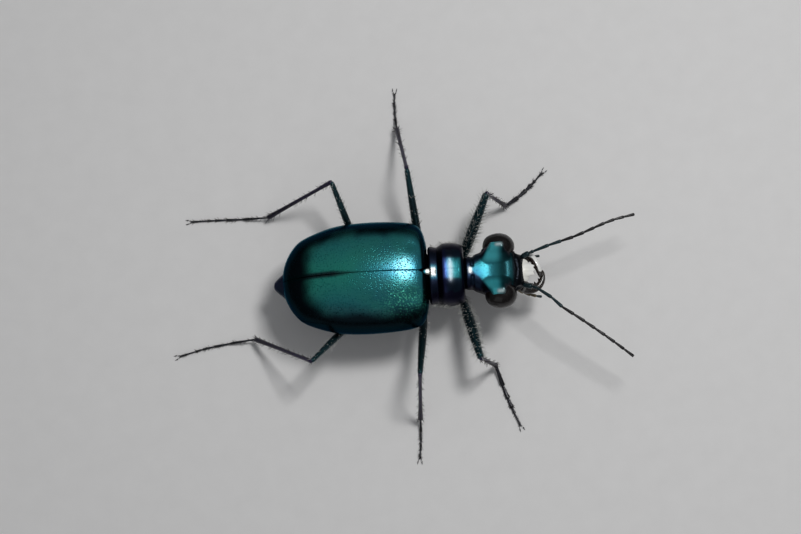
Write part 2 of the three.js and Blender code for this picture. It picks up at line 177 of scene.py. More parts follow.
# Legs: lengths of the parts, the hip's root and its place, then the way each part points.
# Stretch is the share of its length that a foot reaches.
PAIRS = {
    "front": {"femur": 3.93, "tibia": 2.92, "tarsus": 3.38, "root": (1.4, 0.55, 2.0), "hip": (1.9, 1.02, 1.62)},
    "middle": {"femur": 4.9, "tibia": 4.05, "tarsus": 2.0, "root": (-0.5, 0.55, 1.6), "hip": (-0.14, 1.34, 1.36)},
    "hind": {"femur": 4.94, "tibia": 4.78, "tarsus": 4.06, "root": (-2.6, 0.45, 1.6), "hip": (-3.16, 1.09, 1.34)},
}
STANCE = {
    "front_left": {"femur": 65, "lift": 23, "tibia": -4, "tarsus": 37, "curl": 8, "stretch": 0.8},
    "front_right": {"femur": -78, "lift": 24, "tibia": 10, "tarsus": -73, "curl": 4, "stretch": 1},
    "middle_left": {"femur": 97, "lift": 22, "tibia": 98, "tarsus": 93, "curl": -5, "stretch": 1},
    "middle_right": {"femur": -96, "lift": 34, "tibia": -93, "tarsus": -92, "curl": -3, "stretch": 1},
    "hind_left": {"femur": 110, "lift": 26, "tibia": 196, "tarsus": 178, "curl": 2, "stretch": 1},
    "hind_right": {"femur": -133, "lift": 27, "tibia": 146, "tarsus": 185, "curl": 8, "stretch": 1},
}
ANKLE_HEIGHT = 0.42
TOE_SHARES = (0, 0.34, 0.55, 0.7, 0.8, 1)

FEELERS = {
    "left": [
        (4.9, 0.7, 3.2),
        (5.6, 0.95, 3.4),
        (6.63, 1.28, 3.52),
        (7.92, 1.64, 3.56),
        (9.75, 2.36, 3.5),
        (11.1, 2.72, 3.25),
    ],
    "right": [
        (4.9, -0.7, 3.2),
        (5.5, -0.88, 3.38),
        (6.2, -1.24, 3.48),
        (6.9, -2.0, 3.54),
        (7.95, -2.78, 3.52),
        (9.42, -3.9, 3.36),
        (10.6, -4.83, 3.06),
    ],
}
FEELER_JOINTS = (0.72, 0.26, 0.98, 0.78, 0.74, 0.7, 0.68, 0.66, 0.64, 0.62, 0.66)

# The jaws cross in front of the lip, the left over the right. Pale is the share of each that is ivory outside.
JAWS = {
    "left": [(4.9, 0.58, 2.64), (5.32, 0.84, 2.72), (5.64, 0.72, 2.88), (5.86, 0.27, 2.92), (5.95, -0.1, 2.92), (5.97, -0.34, 2.92)],
    "right": [(4.9, 0.56, 2.6), (5.45, 0.86, 2.58), (5.92, 0.68, 2.46), (6.14, 0.24, 2.5), (6.13, -0.16, 2.5)],
}
# The right jaw's smaller ivory share is painted shade: its base is kept dark where shade falls under the head.
JAW_PALE = {"left": 0.9, "right": 0.24}
MOUTH_FEELERS = {
    "outer": {"nodes": "maxillary_palp", "points": [(4.5, 0.56, 2.36), (4.86, 0.76, 2.06), (5.5, 1.02, 1.92), (6.05, 1.1, 1.72)]},
    "inner": {"nodes": "labial_palp", "points": [(4.42, 0.18, 2.3), (4.78, 0.24, 1.98), (5.25, 0.34, 1.78), (5.7, 0.42, 1.54)]},
}


class BeetleSizes(bpy.types.PropertyGroup):
    """Sizes that leave the beetle's outline as it is."""

    wall: FloatProperty(
        name="Wing case wall",
        description="Thickness of each wing case's shell",
        default=0.12 * MM,
        min=0.04 * MM,
        max=0.2 * MM,
        precision=5,
        unit="LENGTH",
    )
    seam: FloatProperty(
        name="Wing case seam",
        description="Width of the gap between the two wing cases",
        default=0.024 * MM,
        min=0.01 * MM,
        max=0.12 * MM,
        precision=5,
        unit="LENGTH",
    )
    front_femur: FloatProperty(
        name="Front femur radius",
        description="Thickness of the front pair's upper legs at their widest, from the middle out",
        default=0.31 * MM,
        min=0.15 * MM,
        max=0.34 * MM,
        precision=5,
        unit="LENGTH",
    )
    middle_femur: FloatProperty(
        name="Middle femur radius",
        description="Thickness of the middle pair's upper legs at their widest, from the middle out",
        default=0.235 * MM,
        min=0.12 * MM,
        max=0.3 * MM,
        precision=5,
        unit="LENGTH",
    )
    hind_femur: FloatProperty(
        name="Hind femur radius",
        description="Thickness of the hind pair's upper legs at their widest, from the middle out",
        default=0.215 * MM,
        min=0.12 * MM,
        max=0.28 * MM,
        precision=5,
        unit="LENGTH",
    )
    feeler: FloatProperty(
        name="Feeler radius",
        description="Thickness of the feelers' outer joints, from the middle out",
        default=0.1 * MM,
        min=0.05 * MM,
        max=0.2 * MM,
        precision=5,
        unit="LENGTH",
    )
    bristle: FloatProperty(
        name="Bristle length",
        description="Length of the white bristles on the legs",
        default=0.36 * MM,
        min=0.1 * MM,
        max=0.6 * MM,
        precision=5,
        unit="LENGTH",
    )
    bristle_count: IntProperty(
        name="Bristles per leg part",
        description="Number of white bristles on each upper leg",
        default=150,
        min=0,
        max=600,
    )


class BeetleColours(bpy.types.PropertyGroup):
    """Colours of the beetle's surfaces."""

    case_middle: FloatVectorProperty(
        name="Wing case",
        description="Metallic green-blue of the wing cases' upper face",
        default=(0.016, 0.17, 0.16),
        subtype="COLOR",
        min=0,
        max=1,
    )
    # Painted shade: the near-black blue that the wing cases are darkened to at their margins.
    case_edge_shade: FloatVectorProperty(
        name="Wing case edge",
        description="Near-black blue that the wing cases deepen to at their margins",
        default=(0.005, 0.011, 0.015),
        subtype="COLOR",
        min=0,
        max=1,
    )
    forebody: FloatVectorProperty(
        name="Forebody",
        description="Metallic cyan of the head and the ring behind it",
        default=(0.02, 0.17, 0.23),
        subtype="COLOR",
        min=0,
        max=1,
    )
    # Painted shade: the violet-black laid on the forebody's grooves and on the sides that turn away from the light.
    forebody_shade: FloatVectorProperty(
        name="Forebody shade",
        description="Violet-blue in the forebody's grooves and on its sides",
        default=(0.006, 0.006, 0.02),
        subtype="COLOR",
        min=0,
        max=1,
    )
    underside: FloatVectorProperty(
        name="Underside",
        description="Dark metallic blue of the belly",
        default=(0.006, 0.02, 0.035),
        subtype="COLOR",
        min=0,
        max=1,
    )
    legs: FloatVectorProperty(
        name="Upper legs",
        description="Dark metallic teal of the upper legs",
        default=(0.006, 0.024, 0.03),
        subtype="COLOR",
        min=0,
        max=1,
    )
    feet: FloatVectorProperty(
        name="Feet",
        description="Near-black of the lower legs and feet",
        default=(0.012, 0.012, 0.02),
        subtype="COLOR",
        min=0,
        max=1,
    )
    eyes: FloatVectorProperty(
        name="Eyes",
        description="Dark brown of the eyes",
        default=(0.006, 0.004, 0.004),
        subtype="COLOR",
        min=0,
        max=1,
    )
    ivory: FloatVectorProperty(
        name="Ivory",
        description="Pale ivory of the upper lip and the jaws' outer base",
        default=(0.98, 0.98, 0.95),
        subtype="COLOR",
        min=0,
        max=1,
    )
    bristles: FloatVectorProperty(
        name="Bristles",
        description="White of the bristles",
        default=(0.8, 0.8, 0.76),
        subtype="COLOR",
        min=0,
        max=1,
    )


# Curves and sections


def drawn_out(rows, count):
    """Rows of numbers drawn out to more of them along smooth curves."""
    rows = np.array(rows, float)
    padded = np.vstack([2 * rows[0] - rows[1], rows, 2 * rows[-1] - rows[-2]])
    spots = np.linspace(0, len(rows) - 1, count)
    first = np.minimum(spots.astype(int), len(rows) - 2)
    share = (spots - first)[:, None]
    before, start, end, after = (padded[first + k] for k in range(4))
    slope_start, slope_end = (end - before) / 2, (after - start) / 2
    return (
        start * (1 + 2 * share) * (1 - share) ** 2
        + slope_start * share * (1 - share) ** 2
        + end * share**2 * (3 - 2 * share)
        + slope_end * share**2 * (share - 1)
    )


def path_points(points, shares):
    """Places at shares of the length of a smooth path through points."""
    fine = drawn_out([tuple(p) for p in points], 400)
    travelled = np.concatenate([[0], np.cumsum(np.linalg.norm(np.diff(fine, axis=0), axis=1))])
    wanted = np.array(shares) * travelled[-1]
    return [Vector([float(np.interp(s, travelled, fine[:, k])) for k in range(3)]) for s in wanted]


def direction(heading, lift=0.0):
    """The way a limb points: a heading seen from above, 0 being forward, and a lift, both in degrees."""
    turn, rise = math.radians(heading), math.radians(lift)
    return Vector((math.cos(rise) * math.cos(turn), math.cos(rise) * math.sin(turn), math.sin(rise)))


# Modelling


def start_clean():
    """Leaves edit mode with nothing selected."""
    if bpy.context.mode != "OBJECT":
        bpy.ops.object.mode_set(mode="OBJECT")
    bpy.ops.object.select_all(action="DESELECT")


def take(form):
    """Selects one form alone."""
    start_clean()
    form.select_set(True)
    bpy.context.view_layer.objects.active = form
    return form


def places(form):
    """The form's points as rows of numbers, in millimetres from the waist."""
    points = np.empty(len(form.data.vertices) * 3)
    form.data.vertices.foreach_get("co", points)
    return (points.reshape(-1, 3) - np.array(WAIST)) / MM


def put_places(form, points):
    """Sets the form's points from rows of millimetres."""
    form.data.vertices.foreach_set("co", (points * MM + np.array(WAIST)).ravel())
    form.data.update()


def grip(form, chosen):
    """Opens a form for editing with the chosen points selected."""
    take(form)
    bpy.ops.object.mode_set(mode="EDIT")
    bpy.ops.mesh.select_mode(type="VERT")
    bpy.ops.mesh.select_all(action="DESELECT")
    bpy.ops.object.mode_set(mode="OBJECT")
    form.data.vertices.foreach_set("select", np.asarray(chosen, bool))
    bpy.ops.object.mode_set(mode="EDIT")


def draw(form, chosen, move, reach):
    """Moves the chosen points, and the skin around them less and less out to the reach. Lengths are millimetres."""
    grip(form, chosen)
    bpy.ops.transform.translate(
        value=Vector(move) * MM,
        use_proportional_edit=True,
        proportional_edit_falloff="SMOOTH",
        proportional_size=reach * MM,
    )
    bpy.ops.object.mode_set(mode="OBJECT")


def push(form, place, move, reach):
    """Moves the skin at one place, as with a thumb."""
    points = places(form)
    nearest = np.zeros(len(points), bool)
    nearest[np.argmin(np.linalg.norm(points - np.array(place), axis=1))] = True
    draw(form, nearest, move, reach)


def swell(form, chosen, height, reach):
    """Raises the chosen points along the skin's own normals, with a soft edge."""
    grip(form, chosen)
    bpy.ops.transform.shrink_fatten(
        value=height * MM,
        use_proportional_edit=True,
        proportional_edit_falloff="SMOOTH",
        proportional_size=reach * MM,
    )
    bpy.ops.object.mode_set(mode="OBJECT")


def soften(form, chosen, times):
    """Evens out the skin over the chosen points."""
    grip(form, chosen)
    bpy.ops.mesh.vertices_smooth(factor=0.5, repeat=times)
    bpy.ops.object.mode_set(mode="OBJECT")


def smooth(form, levels):
    """Rounds the form by subdivision and applies it."""
    take(form)
    if levels:
        rounding = form.modifiers.new("Rounding", "SUBSURF")
        rounding.levels = rounding.render_levels = levels
        bpy.ops.object.modifier_apply(modifier=rounding.name)
    bpy.ops.object.shade_smooth()
    return form


def body_form(name, rows, sides, levels, square=2.0):
    """A closed form along the body: a disc extruded from section to section, and sized at each.

    A square above 2 gives the upper half flatter tops and fuller shoulders.
    """
    start_clean()
    middle = [at(x, 0, (top + bottom) / 2) for x, _, top, bottom in rows]
    size = [(half, (top - bottom) / 2) for _, half, top, bottom in rows]
    bpy.ops.mesh.primitive_circle_add(
        vertices=sides, radius=MM, fill_type="NGON", location=middle[0], rotation=(0, math.pi / 2, 0)
    )
    form = bpy.context.object
    form.name = name
    bpy.ops.object.transform_apply(location=True, rotation=True, scale=True)
    rim = places(form)
    spokes = rim - rim.mean(axis=0)
    upper = spokes[:, 2] > 0
    spokes[upper] = np.sign(spokes[upper]) * abs(spokes[upper]) ** (2 / square)
    put_places(form, rim.mean(axis=0) + spokes)
    bpy.ops.object.mode_set(mode="EDIT")
    bpy.ops.transform.resize(value=(1, *size[0]), center_override=middle[0])
    for k in range(1, len(rows)):
        bpy.ops.mesh.extrude_region_move(TRANSFORM_OT_translate={"value": middle[k] - middle[k - 1]})
        change = (1, size[k][0] / size[k - 1][0], size[k][1] / size[k - 1][1])
        bpy.ops.transform.resize(value=change, center_override=middle[k])
    bpy.ops.mesh.select_all(action="SELECT")
    bpy.ops.mesh.normals_make_consistent(inside=False)
    bpy.ops.object.mode_set(mode="OBJECT")
    return smooth(form, levels)


def unit_part(name, rings, sides=10, levels=1):
    """A part one unit long along +X, to be copied along limbs. Each ring has its share of the length and its radius."""
    start_clean()
    bpy.ops.mesh.primitive_circle_add(
        vertices=sides, radius=1, fill_type="NGON", location=(rings[0][0], 0, 0), rotation=(0, math.pi / 2, 0)
    )
    part = bpy.context.object
    part.name = name
    bpy.ops.object.transform_apply(location=True, rotation=True, scale=True)
    bpy.ops.object.mode_set(mode="EDIT")
    bpy.ops.transform.resize(value=(1, rings[0][1], rings[0][1]), center_override=(rings[0][0], 0, 0))
    for (here, thick), (there, next_thick) in zip(rings, rings[1:]):
        bpy.ops.mesh.extrude_region_move(TRANSFORM_OT_translate={"value": (there - here, 0, 0)})
        change = next_thick / thick
        bpy.ops.transform.resize(value=(1, change, change), center_override=(there, 0, 0))
    bpy.ops.mesh.select_all(action="SELECT")
    bpy.ops.mesh.normals_make_consistent(inside=False)
    bpy.ops.object.mode_set(mode="OBJECT")
    smooth(part, levels)
    points = np.empty(len(part.data.vertices) * 3)
    part.data.vertices.foreach_get("co", points)
    paint(part, "along", points[0::3])
    return part


def paint(form, name, values):
    """Keeps a number for each point, which the materials read."""
    values = np.clip(np.broadcast_to(values, len(form.data.vertices)), 0, 1).astype(np.float32)
    layer = form.data.attributes.get(name) or form.data.attributes.new(name, "FLOAT", "POINT")
    layer.data.foreach_set("value", values)


def mark_forebody(form, **values):
    """Paints every mark that the forebody's material reads, the painted shade, light and highlights among them. Those
    not given are 0.
    """
    for name in ("lengthwise", "shade", "violet", "green", "dark", "gleam", "bright", "crest"):
        paint(form, name, values.get(name, 0.0))


def place_copy(part, start, end, width, height=None):
    """A copy of a unit part with its own mesh, laid from start to end. Width and height are radii in metres."""
    take(part)
    bpy.ops.object.duplicate()
    copy = bpy.context.object
    along = (end - start).normalized()
    across = Vector((0, 0, 1)).cross(along).normalized()
    turn = Matrix((along, across, along.cross(across))).transposed().to_4x4()
    size = Matrix.Diagonal(((end - start).length, width, height or width, 1))
    copy.matrix_world = Matrix.Translation(start) @ turn @ size
    bpy.ops.object.transform_apply(location=True, rotation=True, scale=True)
    return copy


def join_forms(name, forms):
    """Several forms made one piece."""
    take(forms[0])
    for form in forms:
        form.select_set(True)
    if len(forms) > 1:
        bpy.ops.object.join()
    forms[0].name = name
    forms[0].data.name = name
    return forms[0]


def remove(*forms):
    """Deletes the parts that copies were made of."""
    start_clean()
    for form in forms:
        form.select_set(True)
    bpy.ops.object.delete()


def hand_over(piece, slot, material, *nodes):
    """Gives a finished piece its material and its place in the frame."""
    piece.data.materials.clear()
    piece.data.materials.append(material)
    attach(piece, "root")
    if nodes:
        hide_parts(*nodes)


# Material building


def add(tree, kind, links=None, **settings):
    """Adds a shader node, sets it and feeds its sockets with values or other nodes' outputs."""
    node = tree.nodes.new("ShaderNode" + kind)
    for name, value in settings.items():
        setattr(node, name, value)
    for socket, value in (links or {}).items():
        if isinstance(value, bpy.types.NodeSocket):
            tree.links.new(value, node.inputs[socket])
        else:
            node.inputs[socket].default_value = value
    return node


def blend(tree, share, first, second, how="MIX"):
    """A colour between two colours."""
    node = tree.nodes.new("ShaderNodeMix")
    node.data_type = "RGBA"
    node.blend_type = how
    for index, value in ((0, share), (6, first), (7, second)):
        if isinstance(value, bpy.types.NodeSocket):
            tree.links.new(value, node.inputs[index])
        elif index == 0:
            node.inputs[index].default_value = value
        else:
            node.inputs[index].default_value = (*value[:3], 1)
    return node.outputs[2]


def maths(tree, how, first, second=0.0, clamp=False):
    """One sum on one or two numbers."""
    node = add(tree, "Math", {0: first, 1: second}, operation=how, use_clamp=clamp)
    return node.outputs[0]


def between(tree, value, low, high, to_low=0.0, to_high=1.0):
    """A value brought from one range to another with soft ends."""
    links = {"Value": value, "From Min": low, "From Max": high, "To Min": to_low, "To Max": to_high}
    return add(tree, "MapRange", links, interpolation_type="SMOOTHSTEP").outputs["Result"]


def attribute(tree, name):
    """A number painted on the piece."""
    return add(tree, "Attribute", attribute_name=name).outputs["Fac"]


def new_group(name, inputs, outputs):
    """An effect with named inputs and outputs, shared between materials."""
    group = bpy.data.node_groups.new(name, "ShaderNodeTree")
    group.interface.new_socket("Vector", in_out="INPUT", socket_type="NodeSocketVector")
    for label, value in inputs.items():
        socket = group.interface.new_socket(label, in_out="INPUT", socket_type="NodeSocketFloat")
        socket.default_value = value
    for label in outputs:
        group.interface.new_socket(label, in_out="OUTPUT", socket_type="NodeSocketFloat")
    source = group.nodes.new("NodeGroupInput")
    sink = group.nodes.new("NodeGroupOutput")
    return group, source.outputs, sink.inputs


def pits_group():
    """Round shallow pits of varied depth, with fine grain between them."""
    found = bpy.data.node_groups.get("Cuticle pits")
    if found:
        return found
    group, given, result = new_group("Cuticle pits", {"Per metre": 8000.0}, ["Height", "Pit"])
    place = {"Vector": given["Vector"], "Scale": given["Per metre"]}
    cells = add(group, "TexVoronoi", {**place, "Randomness": 0.85}, feature="F1")
    depth = add(group, "TexWhiteNoise", {"Vector": cells.outputs["Position"]}).outputs["Value"]
    rim = between(group, cells.outputs["Distance"], 0.12, 0.5)
    pit = maths(group, "SUBTRACT", 1.0, rim)
    pit = maths(group, "MULTIPLY", pit, between(group, depth, 0.0, 1.0, 0.35, 1.0))
    fine_scale = maths(group, "MULTIPLY", given["Per metre"], 4.5)
    fine = add(group, "TexNoise", {"Vector": given["Vector"], "Scale": fine_scale, "Detail": 2.0})
    grain = maths(group, "MULTIPLY", fine.outputs["Fac"], 0.3)
    group.links.new(maths(group, "SUBTRACT", grain, pit), result["Height"])
    group.links.new(pit, result["Pit"])
    return group


def wrinkles_group():
    """Fine folds that run along one direction and waver. The vector comes in already turned and stretched."""
    found = bpy.data.node_groups.get("Fine wrinkles")
    if found:
        return found
    group, given, result = new_group("Fine wrinkles", {"Per metre": 9000.0}, ["Height", "Fold"])
    links = {"Vector": given["Vector"], "Scale": given["Per metre"], "Detail": 3.0, "Roughness": 0.6, "Distortion": 0.6}
    folds = add(group, "TexNoise", links, noise_type="RIDGED_MULTIFRACTAL")
    level = between(group, folds.outputs["Fac"], 0.2, 1.6)
    group.links.new(level, result["Height"])
    group.links.new(maths(group, "SUBTRACT", 1.0, level), result["Fold"])
    return group


def drift_group():
    """A slow wandering share, for the way metallic colour shifts over a surface."""
    found = bpy.data.node_groups.get("Tint drift")
    if found:
        return found
    group, given, result = new_group("Tint drift", {"Per metre": 700.0}, ["Share", "Speckle"])
    slow = add(group, "TexNoise", {"Vector": given["Vector"], "Scale": given["Per metre"], "Detail": 2.5})
    group.links.new(between(group, slow.outputs["Fac"], 0.32, 0.68), result["Share"])
    quick_scale = maths(group, "MULTIPLY", given["Per metre"], 22.0)
    quick = add(group, "TexNoise", {"Vector": given["Vector"], "Scale": quick_scale, "Detail": 1.0})
    group.links.new(between(group, quick.outputs["Fac"], 0.42, 0.72), result["Speckle"])
    return group


def use_group(tree, group, vector, **values):
    """Places a shared effect in a material with its own values."""
    node = tree.nodes.new("ShaderNodeGroup")
    node.node_tree = group
    tree.links.new(vector, node.inputs["Vector"])
    for label, value in values.items():
        node.inputs[label.replace("_", " ")].default_value = value
    return node.outputs


def new_material(name):
    """An empty material with its shader, and the piece's own coordinates."""
    made = bpy.data.materials.new(name)
    made.use_nodes = True
    tree = made.node_tree
    tree.nodes.clear()
    shader = add(tree, "BsdfPrincipled")
    end = add(tree, "OutputMaterial")
    tree.links.new(shader.outputs["BSDF"], end.inputs["Surface"])
    place = add(tree, "TexCoord").outputs["Object"]
    return made, tree, shader, place


def relief(tree, shader, height, depth):
    """Feeds a height into the shader's normal. Depth is in millimetres."""
    bump = add(tree, "Bump", {"Height": height, "Distance": depth * MM})
    tree.links.new(bump.outputs["Normal"], shader.inputs["Normal"])


def gloss(shader, metallic, roughness, coat=0.0, coat_roughness=0.1):
    """The shader's own plain values."""
    shader.inputs["Metallic"].default_value = metallic
    shader.inputs["Roughness"].default_value = roughness
    shader.inputs["Coat Weight"].default_value = coat
    shader.inputs["Coat Roughness"].default_value = coat_roughness


def case_material(colours):
    """Wing cases: pitted green-blue metal, darkened to near-black blue at every margin as painted shade."""
    found = bpy.data.materials.get("Wing case cuticle")
    if found:
        return found
    made, tree, shader, place = new_material("Wing case cuticle")
    gloss(shader, 0.45, 0.3, 0.5, 0.16)
    shader.inputs["Specular Tint"].default_value = (0.25, 0.5, 0.6, 1)
    pits = use_group(tree, pits_group(), place, Per_metre=10000.0)
    drift = use_group(tree, drift_group(), place, Per_metre=520.0)
    # The rim and margin marks lay painted shade: the colour darkens to near-black blue at every margin.
    rim = attribute(tree, "rim")
    wander = maths(tree, "MULTIPLY", maths(tree, "SUBTRACT", drift["Share"], 0.5), 0.12)
    margin = between(tree, maths(tree, "ADD", rim, wander), 0.42, 0.8)
    green = blend(tree, drift["Share"], colours.case_middle, [c * k for c, k in zip(colours.case_middle, (0.8, 0.78, 1.1))])
    # Bluish streak along the seam towards the front: partly the cuticle's own blue, partly a painted highlight trailing
    # from the key light's reflection.
    green = blend(tree, attribute(tree, "blue"), green, (0.014, 0.18, 0.26))
    green = blend(tree, maths(tree, "MULTIPLY", attribute(tree, "leaf"), 0.7), green, (0.018, 0.3, 0.2))
    green = blend(tree, maths(tree, "MULTIPLY", drift["Speckle"], 0.2), green, (0.03, 0.26, 0.23))
    green = blend(tree, maths(tree, "MULTIPLY", pits["Pit"], 0.75), green, (0.003, 0.045, 0.055))
    skin = blend(tree, margin, green, colours.case_edge_shade)
    # Painted glints: pale green specks on the right wing case's front, where light catches the pit edges.
    lit = maths(tree, "MULTIPLY", between(tree, drift["Speckle"], 0.45, 0.85), attribute(tree, "painted_glints"))
    skin = blend(tree, lit, skin, (0.1, 0.62, 0.42))
    skin = blend(tree, attribute(tree, "seam"), skin, (0.001, 0.012, 0.014))
    tree.links.new(skin, shader.inputs["Base Color"])
    rough = between(tree, pits["Pit"], 0.0, 1.0, 0.2, 0.4)
    tree.links.new(rough, shader.inputs["Roughness"])
    tree.links.new(between(tree, margin, 0.0, 1.0, 0.42, 0.97), shader.inputs["Metallic"])
    shine = between(tree, pits["Pit"], 0.05, 0.3, 0.42, 0.0)
    tree.links.new(maths(tree, "MULTIPLY", shine, maths(tree, "SUBTRACT", 1.0, margin)), shader.inputs["Coat Weight"])
    relief(tree, shader, pits["Height"], 0.006)
    return made


def forebody_material(colours):
    """Head and collar: wrinkled cyan metal, violet-blue where the skin turns away or sinks, as painted shade;
    near-black painted shade on the face, paler painted light on the brow, and painted highlights in pale grey under a
    clear coat.
    """
    found = bpy.data.materials.get("Forebody cuticle")
    if found:
        return found
    made, tree, shader, place = new_material("Forebody cuticle")
    gloss(shader, 0.92, 0.25, 0.3, 0.14)
    stretch = add(tree, "Mapping", {"Vector": place, "Scale": (0.35, 1.0, 0.6)}).outputs["Vector"]
    across = add(tree, "Mapping", {"Vector": place, "Scale": (1.0, 0.3, 0.6)}).outputs["Vector"]
    lengthwise = use_group(tree, wrinkles_group(), stretch, Per_metre=9500.0)
    crosswise = use_group(tree, wrinkles_group(), across, Per_metre=8200.0)
    pits = use_group(tree, pits_group(), place, Per_metre=11000.0)
    drift = use_group(tree, drift_group(), place, Per_metre=650.0)
    kind = attribute(tree, "lengthwise")
    height = add(tree, "Mix", {0: kind, 2: crosswise["Height"], 3: lengthwise["Height"]}).outputs[0]
    height = maths(tree, "ADD", height, maths(tree, "MULTIPLY", pits["Height"], 0.25))
    fold = add(tree, "Mix", {0: kind, 2: crosswise["Fold"], 3: lengthwise["Fold"]}).outputs[0]
    cyan = blend(tree, drift["Share"], colours.forebody, [c * k for c, k in zip(colours.forebody, (1.0, 1.15, 0.72))])
    cyan = blend(tree, attribute(tree, "green"), cyan, (0.015, 0.19, 0.15))
    cyan = blend(tree, maths(tree, "MULTIPLY", fold, 0.6), cyan, (0.006, 0.045, 0.1))
    cyan = blend(tree, attribute(tree, "violet"), cyan, (0.06, 0.1, 0.36))
    # Painted shade: violet-black where the shade mark is set.
    skin = blend(tree, attribute(tree, "shade"), cyan, colours.forebody_shade)
    # Near-black painted shade on the face where the dark mark is set.
    skin = blend(tree, attribute(tree, "dark"), skin, (0.006, 0.008, 0.012))
    # Painted light: a paler, less metallic teal on the brow and the eye plates, for their lit look.
    skin = blend(tree, attribute(tree, "bright"), skin, (0.045, 0.4, 0.45))
    # Painted highlight: a pale, non-metallic spot on each eye ridge.
    skin = blend(tree, attribute(tree, "crest"), skin, (0.5, 0.66, 0.68))
    metal = between(tree, attribute(tree, "bright"), 0.0, 1.0, 0.92, 0.4)
    metal = maths(tree, "MULTIPLY", metal, maths(tree, "SUBTRACT", 1.0, attribute(tree, "crest")))
    tree.links.new(metal, shader.inputs["Metallic"])
    # Painted highlight: pale grey skin under a full clear coat on the neck, the collar's crest and flange, and the
    # shield's front.
    skin = blend(tree, attribute(tree, "gleam"), skin, (0.12, 0.13, 0.12))
    tree.links.new(skin, shader.inputs["Base Color"])
    tree.links.new(between(tree, attribute(tree, "gleam"), 0.0, 1.0, 0.02, 1.0), shader.inputs["Coat Weight"])
    rough = between(tree, fold, 0.0, 1.0, 0.18, 0.36)
    tree.links.new(rough, shader.inputs["Roughness"])
    relief(tree, shader, height, 0.013)
    return made


def underside_material(colours):
    """Belly plates and coxae: dark blue metal with shallow pits."""
    found = bpy.data.materials.get("Underside cuticle")
    if found:
        return found
    made, tree, shader, place = new_material("Underside cuticle")
    gloss(shader, 0.85, 0.36, 0.2, 0.2)
    pits = use_group(tree, pits_group(), place, Per_metre=6500.0)
    drift = use_group(tree, drift_group(), place, Per_metre=600.0)
    skin = blend(tree, drift["Share"], colours.underside, (0.03, 0.03, 0.1))
    skin = blend(tree, maths(tree, "MULTIPLY", pits["Pit"], 0.5), skin, (0.004, 0.012, 0.02))
    tree.links.new(skin, shader.inputs["Base Color"])
    relief(tree, shader, pits["Height"], 0.012)
    return made


def limb_material(name, colour, dark, metallic, reach):
    """Legs and feelers: metallic near the body, darkening along each part."""
    found = bpy.data.materials.get(name)
    if found:
        return found
    made, tree, shader, place = new_material(name)
    gloss(shader, metallic, 0.34, 0.25, 0.2)
    pits = use_group(tree, pits_group(), place, Per_metre=12000.0)
    drift = use_group(tree, drift_group(), place, Per_metre=1100.0)
    along = maths(tree, "ADD", attribute(tree, "along"), maths(tree, "MULTIPLY", drift["Share"], 0.25))
    skin = blend(tree, between(tree, along, reach, reach + 0.7), colour, dark)
    skin = blend(tree, maths(tree, "MULTIPLY", drift["Speckle"], 0.35), skin, [min(1, c * 2.6 + 0.01) for c in colour])
    skin = blend(tree, maths(tree, "MULTIPLY", pits["Pit"], 0.6), skin, (0.004, 0.006, 0.01))
    skin = blend(tree, attribute(tree, "dull"), skin, (0.012, 0.011, 0.012))
    tree.links.new(skin, shader.inputs["Base Color"])
    tree.links.new(between(tree, drift["Speckle"], 0.0, 1.0, 0.3, 0.48), shader.inputs["Roughness"])
    relief(tree, shader, pits["Height"], 0.009)
    return made


def eye_material(colours):
    """Eyes: dark brown under a clear gloss, with the fine honeycomb of facets."""
    found = bpy.data.materials.get("Eye facets")
    if found:
        return found
    made, tree, shader, place = new_material("Eye facets")
    gloss(shader, 0.0, 0.32, 0.6, 0.11)
    shader.inputs["Specular IOR Level"].default_value = 0.08
    facets = add(tree, "TexVoronoi", {"Vector": place, "Scale": 27000.0, "Randomness": 0.25}, feature="F1")
    edge = between(tree, facets.outputs["Distance"], 0.25, 0.6)
    drift = use_group(tree, drift_group(), place, Per_metre=900.0)
    skin = blend(tree, drift["Share"], colours.eyes, [c * k for c, k in zip(colours.eyes, (2.2, 2.0, 2.2))])
    skin = blend(tree, edge, skin, (0.003, 0.002, 0.002))
    tree.links.new(skin, shader.inputs["Base Color"])
    relief(tree, shader, maths(tree, "SUBTRACT", 1.0, edge), 0.004)
    return made


def lip_material(colours):
    """Upper lip: smooth ivory, browner towards its hinge, with a dark brown toothed edge."""
    found = bpy.data.materials.get("Lip ivory")
    if found:
        return found
    made, tree, shader, place = new_material("Lip ivory")
    gloss(shader, 0.0, 0.38, 0.25, 0.2)
    shader.inputs["Subsurface Weight"].default_value = 0.0
    drift = use_group(tree, drift_group(), place, Per_metre=1400.0)
    pits = use_group(tree, pits_group(), place, Per_metre=7000.0)
    ivory = blend(tree, drift["Share"], colours.ivory, [c * k for c, k in zip(colours.ivory, (0.94, 0.92, 0.86))])
    ivory = blend(tree, attribute(tree, "hinge"), ivory, (0.3, 0.2, 0.09))
    skin = blend(tree, attribute(tree, "edge"), ivory, (0.03, 0.014, 0.008))
    tree.links.new(skin, shader.inputs["Base Color"])
    relief(tree, shader, pits["Height"], 0.006)
    return made


def jaw_material(colours):
    """Jaws: ivory on the outer base, then polished brown-black to the tips and teeth."""
    found = bpy.data.materials.get("Jaw horn")
    if found:
        return found
    made, tree, shader, place = new_material("Jaw horn")
    gloss(shader, 0.0, 0.24, 0.5, 0.1)
    drift = use_group(tree, drift_group(), place, Per_metre=2200.0)
    pale = maths(tree, "SUBTRACT", attribute(tree, "pale"), maths(tree, "MULTIPLY", drift["Share"], 0.15))
    horn = blend(tree, drift["Share"], (0.008, 0.006, 0.005), (0.02, 0.01, 0.006))
    skin = blend(tree, between(tree, pale, 0.25, 0.6), horn, colours.ivory)
    tree.links.new(skin, shader.inputs["Base Color"])
    relief(tree, shader, drift["Speckle"], 0.004)
    return made


